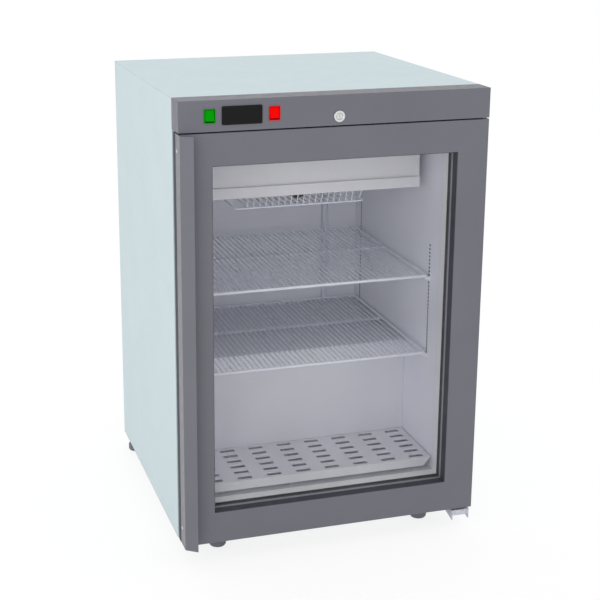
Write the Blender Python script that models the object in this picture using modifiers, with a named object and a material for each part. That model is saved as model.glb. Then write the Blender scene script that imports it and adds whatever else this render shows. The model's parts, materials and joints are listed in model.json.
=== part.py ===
"""Under-counter fridge with a glass door, modelled piece by piece at its real size.

Metres, +Z up, front towards -Y. The origin lies on the floor, under the middle of the fridge.
"""

import math

import bmesh
import bpy
from mathutils import Matrix, Vector

# Gap between pieces that touch
FIT = 0.0003

# Cabinet
CABINET_WIDTH = 0.600
CABINET_DEPTH = 0.540
CABINET_HEIGHT = 0.860
SKIN = 0.0010
BASE_SHEET = 0.0012
RETURN_FLANGE = 0.020
REAR_INSET = 0.003

# Insulated walls, from outer face to inner face
SIDE_WALL = 0.055
BACK_WALL = 0.050
CEILING_WALL = 0.090
FLOOR_WALL = 0.062
LINER_SHEET = 0.0010
LOWER_DEPTH = 0.186
STEP_HEIGHT = 0.290
STEP_FOAM = 0.040

# White frame round the mouth of the compartment
BREAKER_SHEET = 0.002
BREAKER_LIP = 0.0012
BREAKER_REACH = 0.020
MOUTH_DROP = 0.0135

# Control fascia
FASCIA_HEIGHT = 0.0565
FASCIA_SHEET = 0.0012
FASCIA_FLANGE = 0.012
MOUNT_LAP = 0.0035

# Door
DOOR_GAP = 0.012
DOOR_THICKNESS = 0.038
DOOR_LIFT = 0.004
DOOR_TOP_GAP = 0.0025
STILE_WIDTH = 0.0615
TOP_RAIL = 0.060
BOTTOM_RAIL = 0.0625
FRAME_LIP = 0.0195
GLASS_LAP = 0.012
GLASS_PLAY = 0.0008
PANE = 0.004
PANE_GAP = 0.008
SPACER_WIDTH = 0.010
BEAD_WIDTH = 0.0085
BEAD_DEPTH = 0.0045
GASKET_WIDTH = 0.018
GASKET_STEP = 0.0005

# Finger-pull profile on the left edge of the door
HANDLE_SHEET = 0.0015
LIP_SHEET = 0.002
LIP_START = 0.012
LIP_REACH = 0.027
LIP_WIDTH = 0.027

# Hinges
HINGE_INSET = 0.014
HINGE_BACK = 0.020
PIN_RADIUS = 0.004
BUSH_RADIUS = 0.007
BUSH_LENGTH = 0.015
BUSH_COLLAR = 0.0095
PIN_REACH = 0.017
BRACKET_PLATE = 0.0025
BRACKET_WIDTH = 0.038
BRACKET_INSET = 0.004
BRACKET_BACK = 0.045
BRACKET_FRONT = 0.002
BRACKET_LIP = 0.009
GUSSET_HEIGHT = 0.018
GUSSET_TAIL = 0.025
TOP_ARM_LIFT = 0.012
TOP_ARM_WIDTH = 0.022
TOP_ARM_FLANGE = 0.030

# Controls on the fascia
ROCKER_WIDTH = 0.0209
ROCKER_HEIGHT = 0.0258
ROCKER_BEZEL = 0.0015
ROCKER_DEPTH = 0.022
ROCKER_FRAME = 0.0010
ROCKER_WALL = 0.0008
ROCKER_PLAY = 0.0004
ROCKER_POCKET = 0.013
ROCKER_PIVOT = 0.005
ROCKER_TILT = math.radians(8.0)
ROCKER_DISH = 0.0010
ROCKER_TAIL = 0.0033
ROCKER_TILT_PLAY = 0.0012
GREEN_INSET = 0.0573
RED_INSET = 0.1770
DISPLAY_INSET = 0.1167
DISPLAY_WIDTH = 0.0745
DISPLAY_HEIGHT = 0.0335
DISPLAY_DEPTH = 0.0022
DISPLAY_EDGE = 0.0009
CONTROLLER_WIDTH = 0.0675
CONTROLLER_HEIGHT = 0.0265
CONTROLLER_DEPTH = 0.040

# Lock
LOCK_X = 0.0
LOCK_RISE = 0.0168
LOCK_RADIUS = 0.009
LOCK_FLANGE_RADIUS = 0.0105
LOCK_FLANGE = 0.0017
LOCK_LENGTH = 0.021
PLUG_RADIUS = 0.0058
KEY_SLOT_WIDTH = 0.0016
KEY_SLOT_HEIGHT = 0.0076
KEY_SLOT_DEPTH = 0.003
CAM_LENGTH = 0.032
CAM_WIDTH = 0.012
CAM_SHEET = 0.003
CAM_PLAY = 0.0012
CAM_SLOT_DEPTH = 0.020
CAM_SLOT_LEFT = 0.009
CAM_SLOT_RIGHT = 0.034

# Shelves, their clips and the hole columns
SHELF_FRONT = 0.066
SHELF_BACK_GAP = 0.019
SHELF_SIDE = 0.007
SHELF_ROD = 0.003
SHELF_CORNER = 0.010
SHELF_WIRE = 0.0014
SHELF_WIRE_RISE = 0.0012
SHELF_WIRES = 42
SHELF_WIRE_MARGIN = 0.016
SHELF_RAIL = 0.0025
SHELF_RAIL_DROP = 0.0032
SHELF_RAIL_BACK = 0.305
HOLE_SIZE = 0.004
HOLE_PITCH = 0.0078
HOLE_COUNT = 31
HOLE_RISE = 0.0026
HOLE_FRONT = 0.075
HOLE_REAR_GAP = 0.034
UPPER_HOLE = 21
LOWER_HOLE = 0
CLIP_WIDTH = 0.010
CLIP_PLATE = 0.002
CLIP_LEDGE = 0.011
CLIP_RISE = 0.006
CLIP_DROP = 0.0021
CLIP_THICKNESS = 0.0052
STRIP_WIDTH = 0.004
STRIP_SHEET = 0.0017
STRIP_DROP = 0.0031
STRIP_INSET = 0.0004
PEG = 0.0032

# Floor tray
TRAY_FRONT = 0.027
TRAY_SIDE_GAP = 0.003
TRAY_BACK_GAP = 0.002
TRAY_HEIGHT = 0.026
TRAY_FLANGE = 0.018
TRAY_MITRE = 0.016
TRAY_NOTCH = 0.012
TRAY_SHEET = 0.0010
SLOT_LENGTH = 0.030
SLOT_WIDTH = 0.010
SLOT_COLUMNS = 8
SLOT_PITCH_X = 0.0612
SLOT_ROWS = 6
SLOT_PITCH_Y = 0.0262

# Evaporator unit under the ceiling
COVER_SIDE_GAP = 0.020
COVER_FRONT = 0.091
COVER_HEIGHT = 0.125
COVER_SHEET = 0.0010
COVER_STRIP = 0.018
COVER_SLANT = 0.004
FAN_X = -0.012
FAN_BACK = 0.235
FAN_HOLE = 0.095
FAN_RADIUS = 0.084
FAN_HUB = 0.022
FAN_HUB_HEIGHT = 0.014
FAN_BLADES = 5
FAN_BLADE_SHEET = 0.0016
FAN_BLADE_HALF = 0.0252
FAN_ROOT_HALF = 0.0113
FAN_ROOT = 0.0176
FAN_BELLY = 0.0605
FAN_SHOULDER = 0.0798
FAN_SHOULDER_HALF = 0.0202
FAN_PITCH = math.radians(24.0)
FAN_DROP = 0.020
FAN_SHAFT = 0.003
FAN_BAR_HALF = 0.115
FAN_BAR_WIDTH = 0.024
FAN_BAR_SHEET = 0.002
MOTOR_RADIUS = 0.030
MOTOR_HEIGHT = 0.042
GUARD_HALF_X = 0.145
GUARD_HALF_Y = 0.114
GUARD_DROP = 0.031
GUARD_TAPER = 0.012
GUARD_ROD = 0.0016
GUARD_WIRE = 0.0012
GUARD_OVERLAP = 0.0009
GUARD_RIBS = 18
GUARD_RIB_MARGIN = 0.024
GUARD_STRUTS = 3
GUARD_STRUT_SPREAD = 0.0816
COIL_RADIUS = 0.005
COIL_SIDE_GAP = 0.035
COIL_RUNS = 7
COIL_DROP = 0.032
COIL_FRONT = 0.140
COIL_PITCH = 0.038
HANGER_X = 0.120
HANGER_WIDTH = 0.012
HANGER_SHEET = 0.002
HANGER_REACH = 0.012
DRAIN_INSET = 0.059
DRAIN_RADIUS = 0.006
DRAIN_WALL_GAP = 0.0025
DRAIN_TOP = 0.012
DRAIN_END = 0.024

# Machine room behind the step
COMPRESSOR_X = 0.140
COMPRESSOR_BACK = 0.145
COMPRESSOR_RADIUS = 0.075
COMPRESSOR_HEIGHT = 0.165
COMPRESSOR_SEAM = 0.086
COMPRESSOR_CROWN = ((0.045, 0.161), (0.0645, 0.1485), (0.072, 0.1255))
COMPRESSOR_BOWL = ((0.072, 0.041), (0.0615, 0.013), (0.0375, 0.0))
COMPRESSOR_RIM = 0.003
COMPRESSOR_FOOT_X = 0.190
COMPRESSOR_FOOT_Y = 0.130
COMPRESSOR_FOOT_SHEET = 0.003
PLINTH_HEIGHT = 0.018
PLINTH_SHEET = 0.002
DRIP_TRAY_X = 0.150
DRIP_TRAY_Y = 0.170
DRIP_TRAY_HEIGHT = 0.026
DRIP_TRAY_WALL = 0.0015
DRIP_TRAY_REAR = 0.040
CONDENSER_LEFT = 0.268
CONDENSER_RIGHT = 0.005
CONDENSER_RADIUS = 0.003
CONDENSER_RUNS = 6
CONDENSER_PITCH = 0.034
CONDENSER_BOTTOM = 0.030
CONDENSER_RIB = 0.014
RIB_SHEET = 0.003
RIB_LEFT = 0.235
RIB_RIGHT = 0.040
VENT_LENGTH = 0.200
VENT_HEIGHT = 0.007
VENT_PITCH_X = 0.260
VENT_COLUMNS = 2
VENT_PITCH_Z = 0.022
VENT_ROWS = 8
VENT_BOTTOM = 0.040

# Feet
FOOT_HEIGHT = 0.038
FOOT_RADIUS = 0.017
FOOT_PAD = 0.014
FOOT_NECK = 0.010
FOOT_SHOULDER = 0.020
FOOT_EDGE = 0.0042
FOOT_BASE = 0.015
FOOT_STEM = 0.004
FOOT_STEM_LENGTH = 0.028
FRONT_FOOT_INSET = 0.085
REAR_FOOT_INSET = 0.022
FRONT_FOOT_BACK = 0.022
REAR_FOOT_BACK = 0.024

# Planes worked out from the sizes above
HALF = CABINET_WIDTH / 2
BACK_Y = (CABINET_DEPTH + DOOR_GAP + DOOR_THICKNESS + LIP_REACH) / 2
FRONT_Y = BACK_Y - CABINET_DEPTH
BASE_Z = FOOT_HEIGHT
TOP_Z = BASE_Z + CABINET_HEIGHT
DECK_Z = BASE_Z + BASE_SHEET
INNER_X = HALF - SIDE_WALL
INNER_BACK = BACK_Y - BACK_WALL
INNER_TOP = TOP_Z - CEILING_WALL
INNER_FLOOR = BASE_Z + FLOOR_WALL
STEP_FRONT = FRONT_Y + LOWER_DEPTH
STEP_TOP = BASE_Z + STEP_HEIGHT
LINER_FRONT = FRONT_Y + BREAKER_SHEET + FIT
MACHINE_FRONT = STEP_FRONT + LINER_SHEET + FIT + STEP_FOAM
MACHINE_TOP = STEP_TOP - LINER_SHEET - FIT - STEP_FOAM
REAR_FACE = BACK_Y - REAR_INSET
REAR_INNER = REAR_FACE - SKIN
FASCIA_BOTTOM = TOP_Z - FASCIA_HEIGHT
MOUNT_BOTTOM = FASCIA_BOTTOM - MOUNT_LAP
DOOR_BACK = FRONT_Y - DOOR_GAP
DOOR_FACE = DOOR_BACK - DOOR_THICKNESS
DOOR_TOP = FASCIA_BOTTOM - DOOR_TOP_GAP
DOOR_BOTTOM = BASE_Z + DOOR_LIFT
WINDOW_HALF = HALF - STILE_WIDTH
WINDOW_TOP = DOOR_TOP - TOP_RAIL
WINDOW_BOTTOM = DOOR_BOTTOM + BOTTOM_RAIL
GLASS_FRONT = DOOR_FACE + FRAME_LIP + FIT
HINGE = Vector((HALF - HINGE_INSET, DOOR_FACE + HINGE_BACK, 0.0))
CONTROLS_Z = FASCIA_BOTTOM + FASCIA_HEIGHT / 2
LOCK_Z = FASCIA_BOTTOM + LOCK_RISE
COVER_Z = INNER_TOP - COVER_HEIGHT
COVER_HALF = INNER_X - COVER_SIDE_GAP
COIL_HALF = COVER_HALF - COIL_SIDE_GAP
DRAIN_X = COVER_HALF - DRAIN_INSET
HOLE_FRONT_Y = FRONT_Y + HOLE_FRONT
HOLE_REAR_Y = INNER_BACK - HOLE_REAR_GAP
GREEN_X = -HALF + GREEN_INSET
RED_X = -HALF + RED_INSET
DISPLAY_X = -HALF + DISPLAY_INSET
FAN_CENTRE = Vector((FAN_X, FRONT_Y + FAN_BACK, 0.0))

# Round pieces
SEGMENTS = 16
SMALL_SEGMENTS = 12
WIRE_SEGMENTS = 5

# Reach of a cutter past the faces it cuts through
PAST = 0.010

PARTS = None
CUTTERS = None
FINISHES = {}


def linear(value):
    """Linear value of an 8-bit sRGB channel."""
    share = value / 255
    if share <= 0.04045:
        return share / 12.92
    return ((share + 0.055) / 1.055) ** 2.4


def make_finish(name, rgb, roughness, metallic=0.0, transmission=0.0):
    """Principled material of one finish."""
    material = bpy.data.materials.new(name)
    material.use_nodes = True
    shader = material.node_tree.nodes["Principled BSDF"]
    shader.inputs["Base Color"].default_value = (*[linear(v) for v in rgb], 1.0)
    shader.inputs["Roughness"].default_value = roughness
    shader.inputs["Metallic"].default_value = metallic
    shader.inputs["Transmission Weight"].default_value = transmission
    FINISHES[name] = material


def make_finishes():
    """All finishes of the fridge."""
    make_finish("pale_paint", (208, 223, 226), 0.35)
    make_finish("grey_paint", (114, 114, 122), 0.45)
    make_finish("white_sheet", (196, 198, 204), 0.40)
    make_finish("white_plastic", (205, 206, 210), 0.45)
    make_finish("white_wire", (215, 217, 222), 0.35)
    make_finish("zinc", (205, 208, 214), 0.35, 0.8)
    make_finish("copper", (184, 115, 75), 0.35, 0.9)
    make_finish("black_steel", (38, 38, 40), 0.50, 0.2)
    make_finish("black_plastic", (34, 34, 35), 0.40)
    make_finish("dark_rubber", (62, 64, 68), 0.70)
    make_finish("glass", (235, 242, 242), 0.03, 0.0, 0.95)
    make_finish("aluminium", (160, 162, 166), 0.40, 0.9)
    make_finish("foam", (225, 210, 160), 0.90)
    make_finish("green_plastic", (0, 150, 20), 0.30)
    make_finish("red_plastic", (230, 10, 15), 0.30)
    make_finish("silver", (216, 217, 220), 0.25, 0.9)


def start_scene():
    """Empty scene with one collection for the parts and one for the cutters."""
    global PARTS, CUTTERS
    for item in list(bpy.data.objects):
        bpy.data.objects.remove(item, do_unlink=True)
    PARTS = bpy.data.collections.new("under_counter_fridge")
    CUTTERS = bpy.data.collections.new("cutters")
    for collection in (PARTS, CUTTERS):
        bpy.context.scene.collection.children.link(collection)


def finish_mesh(shape, name="shape"):
    """Mesh of a bmesh with its doubles merged and its faces pointing out."""
    bmesh.ops.remove_doubles(shape, verts=shape.verts, dist=0.00001)
    bmesh.ops.recalc_face_normals(shape, faces=shape.faces)
    mesh = bpy.data.meshes.new(name)
    shape.to_mesh(mesh)
    shape.free()
    return mesh


def evaluated_mesh(item):
    """Welded mesh of a curve or modified object, in world space; the object is removed."""
    PARTS.objects.link(item)
    graph = bpy.context.evaluated_depsgraph_get()
    mesh = bpy.data.meshes.new_from_object(item.evaluated_get(graph))
    shape = bmesh.new()
    shape.from_mesh(mesh)
    shape.transform(item.matrix_world)
    bpy.data.objects.remove(item, do_unlink=True)
    bpy.data.meshes.remove(mesh)
    return finish_mesh(shape)


def box(low, high):
    """Box between two corners."""
    low, high = Vector(low), Vector(high)
    shape = bmesh.new()
    place = Matrix.Translation((low + high) / 2) @ Matrix.Diagonal((*(high - low), 1.0))
    bmesh.ops.create_cube(shape, size=1.0, matrix=place)
    return finish_mesh(shape)


def rod(start, end, radius, segments=SEGMENTS):
    """Cylinder between two points."""
    start, end = Vector(start), Vector(end)
    run = end - start
    turn = Vector((0.0, 0.0, 1.0)).rotation_difference(run).to_matrix().to_4x4()
    shape = bmesh.new()
    bmesh.ops.create_cone(
        shape, cap_ends=True, segments=segments, radius1=radius, radius2=radius,
        depth=run.length, matrix=Matrix.Translation((start + end) / 2) @ turn)
    return finish_mesh(shape)


def group(meshes):
    """Several meshes as one, each still a body of its own."""
    shape = bmesh.new()
    for mesh in meshes:
        shape.from_mesh(mesh)
        bpy.data.meshes.remove(mesh)
    joined = bpy.data.meshes.new("group")
    shape.to_mesh(joined)
    shape.free()
    return joined


PLANES = {
    "XY": Matrix(((1, 0, 0, 0), (0, 1, 0, 0), (0, 0, 1, 0), (0, 0, 0, 1))),
    "XZ": Matrix(((1, 0, 0, 0), (0, 0, -1, 0), (0, 1, 0, 0), (0, 0, 0, 1))),
    "YZ": Matrix(((0, 0, 1, 0), (1, 0, 0, 0), (0, 1, 0, 0), (0, 0, 0, 1))),
}
NORMALS = {"XY": Vector((0, 0, 1)), "XZ": Vector((0, 1, 0)), "YZ": Vector((1, 0, 0))}


def sheet(plane, outline, start, end, holes=()):
    """Flat outline with holes in a plane, extruded from start to end along its normal."""
    curve = bpy.data.curves.new("outline", "CURVE")
    curve.dimensions = "2D"
    curve.fill_mode = "BOTH"
    curve.extrude = (end - start) / 2
    for loop in (outline, *holes):
        spline = curve.splines.new("POLY")
        spline.points.add(len(loop) - 1)
        for point, (u, v) in zip(spline.points, loop):
            point.co = (u, v, 0.0, 1.0)
        spline.use_cyclic_u = True
    item = bpy.data.objects.new("outline", curve)
    middle = Matrix.Translation(NORMALS[plane] * (start + end) / 2)
    item.matrix_world = middle @ PLANES[plane]
    return evaluated_mesh(item)


def rectangle(left, bottom, right, top):
    """Corners of a rectangle."""
    return [(left, bottom), (right, bottom), (right, top), (left, top)]


def tube(points, radius, resolution=2, closed=False):
    """Round wire along points."""
    curve = bpy.data.curves.new("wire", "CURVE")
    curve.dimensions = "3D"
    curve.bevel_depth = radius
    curve.bevel_resolution = resolution
    curve.use_fill_caps = not closed
    spline = curve.splines.new("POLY")
    spline.points.add(len(points) - 1)
    for point, place in zip(spline.points, points):
        point.co = (*place, 1.0)
    spline.use_cyclic_u = closed
    return evaluated_mesh(bpy.data.objects.new("wire", curve))


def turned(profile, place, segments=SEGMENTS):
    """Profile of radius and height, from top to bottom, turned round a vertical axis."""
    mesh = bpy.data.meshes.new("profile")
    edges = [(step, step + 1) for step in range(len(profile) - 1)]
    mesh.from_pydata([(radius, 0.0, height) for radius, height in profile], edges, [])
    item = bpy.data.objects.new("profile", mesh)
    item.location = place
    screw = item.modifiers.new("turn", "SCREW")
    screw.steps = segments
    screw.render_steps = segments
    screw.use_merge_vertices = True
    screw.merge_threshold = 0.00001
    bpy.context.view_layer.update()
    return evaluated_mesh(item)


def add_part(name, mesh, finish, origin=(0.0, 0.0, 0.0), smooth=False):
    """Named sub-part whose object origin lies at the given point."""
    mesh.name = name
    mesh.transform(Matrix.Translation(-Vector(origin)))
    mesh.materials.clear()
    mesh.materials.append(FINISHES[finish])
    if smooth:
        mesh.shade_smooth()
        mesh.set_sharp_from_angle(angle=math.radians(35.0))
    item = bpy.data.objects.new(name, mesh)
    item.location = origin
    PARTS.objects.link(item)
    return item


def combine(part, mesh, operation):
    """Boolean between a part and a helper mesh."""
    helper = bpy.data.objects.new(part.name + "_" + operation.lower(), mesh)
    helper.hide_render = True
    helper.display_type = "WIRE"
    CUTTERS.objects.link(helper)
    step = part.modifiers.new(operation.lower(), "BOOLEAN")
    step.operation = operation
    step.solver = "EXACT"
    step.object = helper


def cut(part, mesh):
    """Take a helper mesh away from a part."""
    combine(part, mesh, "DIFFERENCE")


def weld(part, mesh):
    """Join a helper mesh to a part as one body."""
    combine(part, mesh, "UNION")


def even(count, low, high):
    """Evenly spaced values from low to high."""
    return [low + (high - low) * step / (count - 1) for step in range(count)]


def build_shell():
    """Outer steel skin: sides and top with front returns, back, base plate."""
    low, high = DECK_Z + FIT, TOP_Z - SKIN - FIT
    for name, side in (("left_side_panel", -1), ("right_side_panel", 1)):
        outline = [
            (side * HALF, FRONT_Y), (side * (HALF - RETURN_FLANGE), FRONT_Y),
            (side * (HALF - RETURN_FLANGE), FRONT_Y + SKIN), (side * (HALF - SKIN), FRONT_Y + SKIN),
            (side * (HALF - SKIN), BACK_Y), (side * HALF, BACK_Y)]
        add_part(name, sheet("XY", outline, low, high), "pale_paint")
    top = add_part("top_panel", box((-HALF, FRONT_Y, TOP_Z - SKIN), (HALF, BACK_Y, TOP_Z)), "pale_paint")
    width = HALF - RETURN_FLANGE - FIT
    weld(top, box((-width, FRONT_Y, MOUNT_BOTTOM), (width, FRONT_Y + SKIN, TOP_Z - SKIN / 2)))
    inner = HALF - SKIN - FIT
    back = box((-inner, REAR_INNER, MACHINE_TOP + FIT), (inner, REAR_FACE, high))
    add_part("back_panel", back, "zinc")
    base = add_part("base_plate", box((-HALF, FRONT_Y, BASE_Z), (HALF, BACK_Y, DECK_Z)), "zinc")
    stems = [rod((x, y, BASE_Z - PAST), (x, y, DECK_Z + PAST), FOOT_STEM + FIT, SMALL_SEGMENTS)
             for _, x, y in feet_places()]
    cut(base, group(stems))


def build_rear_grille():
    """Slotted cover of the machine room, with two ribs that carry the condenser."""
    inner = HALF - SKIN - FIT
    low = DECK_Z + FIT
    vents = []
    for column in range(VENT_COLUMNS):
        x = (column - (VENT_COLUMNS - 1) / 2) * VENT_PITCH_X
        for row in range(VENT_ROWS):
            z = BASE_Z + VENT_BOTTOM + row * VENT_PITCH_Z
            vents.append(rectangle(x - VENT_LENGTH / 2, z, x + VENT_LENGTH / 2, z + VENT_HEIGHT))
    plate = sheet("XZ", rectangle(-inner, low, inner, MACHINE_TOP), REAR_INNER, REAR_FACE, vents)
    grille = add_part("rear_grille", plate, "zinc")
    ribs = []
    for x in (-RIB_LEFT, -RIB_RIGHT):
        ribs.append(box((x - RIB_SHEET / 2, REAR_INNER - CONDENSER_RIB, low),
                        (x + RIB_SHEET / 2, REAR_INNER + SKIN / 2, MACHINE_TOP - SKIN)))
    weld(grille, group(ribs))


def liner_outline(grow):
    """Side view of the liner with its step, grown outwards by a margin."""
    back = INNER_BACK + grow
    step_y, step_z = STEP_FRONT + grow, STEP_TOP - grow
    low, high = INNER_FLOOR - grow, INNER_TOP + grow
    return [(step_y, low), (step_y, step_z), (back, step_z), (back, high)], low, high


def build_foam():
    """Foam between skin and liner, open at the machine room."""
    inner = HALF - SKIN - FIT
    foam = add_part(
        "insulation_foam",
        box((-inner, LINER_FRONT, DECK_Z + FIT), (inner, REAR_INNER - FIT, TOP_Z - SKIN - FIT)), "foam")
    stepped, low, high = liner_outline(LINER_SHEET + FIT)
    front = LINER_FRONT - PAST
    width = INNER_X + LINER_SHEET + FIT
    cut(foam, sheet("YZ", [(front, low), *stepped, (front, high)], -width, width))
    room = box((-HALF - PAST, MACHINE_FRONT, BASE_Z - PAST), (HALF + PAST, BACK_Y + PAST, MACHINE_TOP))
    cut(foam, room)
    pockets = [rod((x, y, BASE_Z), (x, y, BASE_Z + FOOT_STEM_LENGTH + PAST), FOOT_STEM + FIT, SMALL_SEGMENTS)
               for name, x, y in feet_places() if "front" in name]
    pockets.append(drain_rod(FIT))
    cut(foam, group(pockets))


def hole_heights():
    """Heights of the shelf holes."""
    return [STEP_TOP + HOLE_RISE + HOLE_PITCH * step for step in range(HOLE_COUNT)]


def build_liner():
    """White inner sheets: sides with hole columns, ceiling, back wall, step and floor."""
    stepped, low, high = liner_outline(LINER_SHEET)
    outline = [(LINER_FRONT, low), *stepped, (LINER_FRONT, high)]
    holes = []
    for y in (HOLE_FRONT_Y, HOLE_REAR_Y):
        for z in hole_heights():
            reach = HOLE_SIZE / 2
            holes.append(rectangle(y - reach, z - reach, y + reach, z + reach))
    left = sheet("YZ", outline, -INNER_X - LINER_SHEET, -INNER_X, holes)
    add_part("liner_left_side", left, "white_sheet")
    right = sheet("YZ", outline, INNER_X, INNER_X + LINER_SHEET, holes)
    add_part("liner_right_side", right, "white_sheet")
    width = INNER_X - FIT
    back = INNER_BACK - FIT
    ceiling = box((-width, LINER_FRONT, INNER_TOP), (width, back, INNER_TOP + LINER_SHEET))
    add_part("liner_ceiling", ceiling, "white_sheet")
    wall = box((-width, INNER_BACK, STEP_TOP - LINER_SHEET),
               (width, INNER_BACK + LINER_SHEET, INNER_TOP + LINER_SHEET))
    add_part("liner_back_wall", wall, "white_sheet")
    floor_z = INNER_FLOOR - LINER_SHEET
    step_outline = [
        (STEP_FRONT, floor_z), (STEP_FRONT + LINER_SHEET, floor_z),
        (STEP_FRONT + LINER_SHEET, STEP_TOP - LINER_SHEET), (back, STEP_TOP - LINER_SHEET),
        (back, STEP_TOP), (STEP_FRONT, STEP_TOP)]
    step = add_part("liner_step", sheet("YZ", step_outline, -width, width), "white_sheet")
    cut(step, drain_rod(FIT))
    floor = box((-width, LINER_FRONT, floor_z), (width, STEP_FRONT - FIT, INNER_FLOOR))
    add_part("liner_floor", floor, "white_sheet")


def mouth(grow):
    """Mouth of the compartment inside the breaker lip, grown outwards by a margin."""
    side = INNER_X - FIT - BREAKER_LIP + grow
    low = INNER_FLOOR + FIT + BREAKER_LIP - grow
    return rectangle(-side, low, side, INNER_TOP - MOUTH_DROP + grow)


def build_breaker():
    """White frame on the front of the cabinet, with a lip into the compartment."""
    width = HALF - RETURN_FLANGE - FIT
    outer = rectangle(-width, DECK_Z + FIT, width, MOUNT_BOTTOM - FIT)
    ring = sheet("XZ", outer, FRONT_Y, FRONT_Y + BREAKER_REACH, [mouth(0.0)])
    frame = add_part("breaker_frame", ring, "white_plastic")
    wide = rectangle(-HALF, BASE_Z - PAST, HALF, TOP_Z)
    rebate = sheet("XZ", wide, FRONT_Y + BREAKER_SHEET, FRONT_Y + BREAKER_REACH + PAST, [mouth(BREAKER_LIP)])
    cut(frame, rebate)


def shelf_height(hole):
    """Height of a shelf's rods when its clips hang in the given hole."""
    return hole_heights()[hole] + CLIP_RISE + FIT + SHELF_ROD


def rounded_loop(half_x, front, back, height, radius):
    """Corner-rounded rectangle at a height, as points."""
    points = []
    corners = ((half_x, back, 0), (-half_x, back, 1), (-half_x, front, 2), (half_x, front, 3))
    for x, y, quarter in corners:
        centre_x = x - math.copysign(radius, x)
        centre_y = y - radius if y == back else y + radius
        for step in range(4):
            turn = math.pi / 2 * (quarter + step / 3)
            points.append((centre_x + radius * math.cos(turn), centre_y + radius * math.sin(turn), height))
    return points


def build_shelf(name, hole):
    """Wire shelf: round frame, wires from front to back and a rail across below them."""
    height = shelf_height(hole)
    half = INNER_X - SHELF_SIDE
    front, back = FRONT_Y + SHELF_FRONT, INNER_BACK - SHELF_BACK_GAP
    frame = tube(rounded_loop(half, front, back, height, SHELF_CORNER), SHELF_ROD, 2, closed=True)
    shelf = add_part(name, frame, "white_wire")
    reach = half - SHELF_WIRE_MARGIN
    wire_z = height + SHELF_WIRE_RISE
    wires = [rod((x, front, wire_z), (x, back, wire_z), SHELF_WIRE, WIRE_SEGMENTS)
             for x in even(SHELF_WIRES, -reach, reach)]
    weld(shelf, group(wires))
    rail_z = height - SHELF_RAIL_DROP
    rail_y = FRONT_Y + SHELF_RAIL_BACK
    weld(shelf, rod((-half, rail_y, rail_z), (half, rail_y, rail_z), SHELF_RAIL, WIRE_SEGMENTS))


def build_support(name, side, hole):
    """Shelf support: a front and a rear clip hooked in the holes, joined by a thin strip."""
    z = hole_heights()[hole]
    wall = side * INNER_X
    front, rear = HOLE_FRONT_Y, HOLE_REAR_Y
    near = wall - side * (CLIP_LEDGE - STRIP_INSET)
    far = near + side * STRIP_WIDTH
    top = z + CLIP_RISE - STRIP_DROP
    strip = box((min(near, far), front, top - STRIP_SHEET), (max(near, far), rear, top))
    support = add_part(name, strip, "white_plastic")
    profile = [
        (wall - side * FIT, z - CLIP_DROP), (wall - side * FIT, z + CLIP_RISE),
        (wall - side * CLIP_LEDGE, z + CLIP_RISE), (wall - side * CLIP_LEDGE, z + CLIP_RISE - CLIP_THICKNESS),
        (wall - side * CLIP_PLATE, z), (wall - side * CLIP_PLATE, z - CLIP_DROP)]
    clips, pegs = [], []
    ends = sorted((wall - side * CLIP_PLATE / 2, wall + side * LINER_SHEET))
    reach = PEG / 2
    for y in (front, rear):
        clips.append(sheet("XZ", profile, y - CLIP_WIDTH / 2, y + CLIP_WIDTH / 2))
        pegs.append(box((ends[0], y - reach, z - reach), (ends[1], y + reach, z + reach)))
    weld(support, group(clips))
    weld(support, group(pegs))


def build_floor_tray():
    """Slotted sheet tray that stands on its side flanges over the floor."""
    half = INNER_X - TRAY_SIDE_GAP
    front = FRONT_Y + TRAY_FRONT
    back = STEP_FRONT - TRAY_BACK_GAP
    low = INNER_FLOOR + FIT
    top = low + TRAY_HEIGHT
    under = top - TRAY_SHEET
    tray = add_part("floor_tray", box((-half, front, low), (half, back, top)), "white_sheet")
    hollow = half - TRAY_SHEET
    cut(tray, box((-hollow, front + TRAY_SHEET, low - PAST), (hollow, back + PAST, under)))
    flange_z = top - TRAY_FLANGE
    mitre = half - TRAY_MITRE
    relief = [
        (-half - PAST, low - PAST), (half + PAST, low - PAST), (half + PAST, under), (hollow, under),
        (mitre, flange_z), (-mitre, flange_z), (-hollow, under), (-half - PAST, under)]
    cut(tray, sheet("XZ", relief, front - PAST, front + TRAY_NOTCH))
    slots = []
    middle = (front + back) / 2
    for column in range(SLOT_COLUMNS):
        x = (column - (SLOT_COLUMNS - 1) / 2) * SLOT_PITCH_X
        for row in range(SLOT_ROWS):
            y = middle + (row - (SLOT_ROWS - 1) / 2) * SLOT_PITCH_Y
            slots.append(box((x - SLOT_LENGTH / 2, y - SLOT_WIDTH / 2, under - PAST / 2),
                             (x + SLOT_LENGTH / 2, y + SLOT_WIDTH / 2, top + PAST / 2)))
    cut(tray, group(slots))


def drain_rod(grow):
    """Drain tube or, grown by a margin, the hole that it passes through."""
    y = INNER_BACK - DRAIN_WALL_GAP - DRAIN_RADIUS
    return rod((DRAIN_X, y, MACHINE_TOP - DRAIN_END - grow), (DRAIN_X, y, COVER_Z + DRAIN_TOP),
               DRAIN_RADIUS + grow, SMALL_SEGMENTS)


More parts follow.
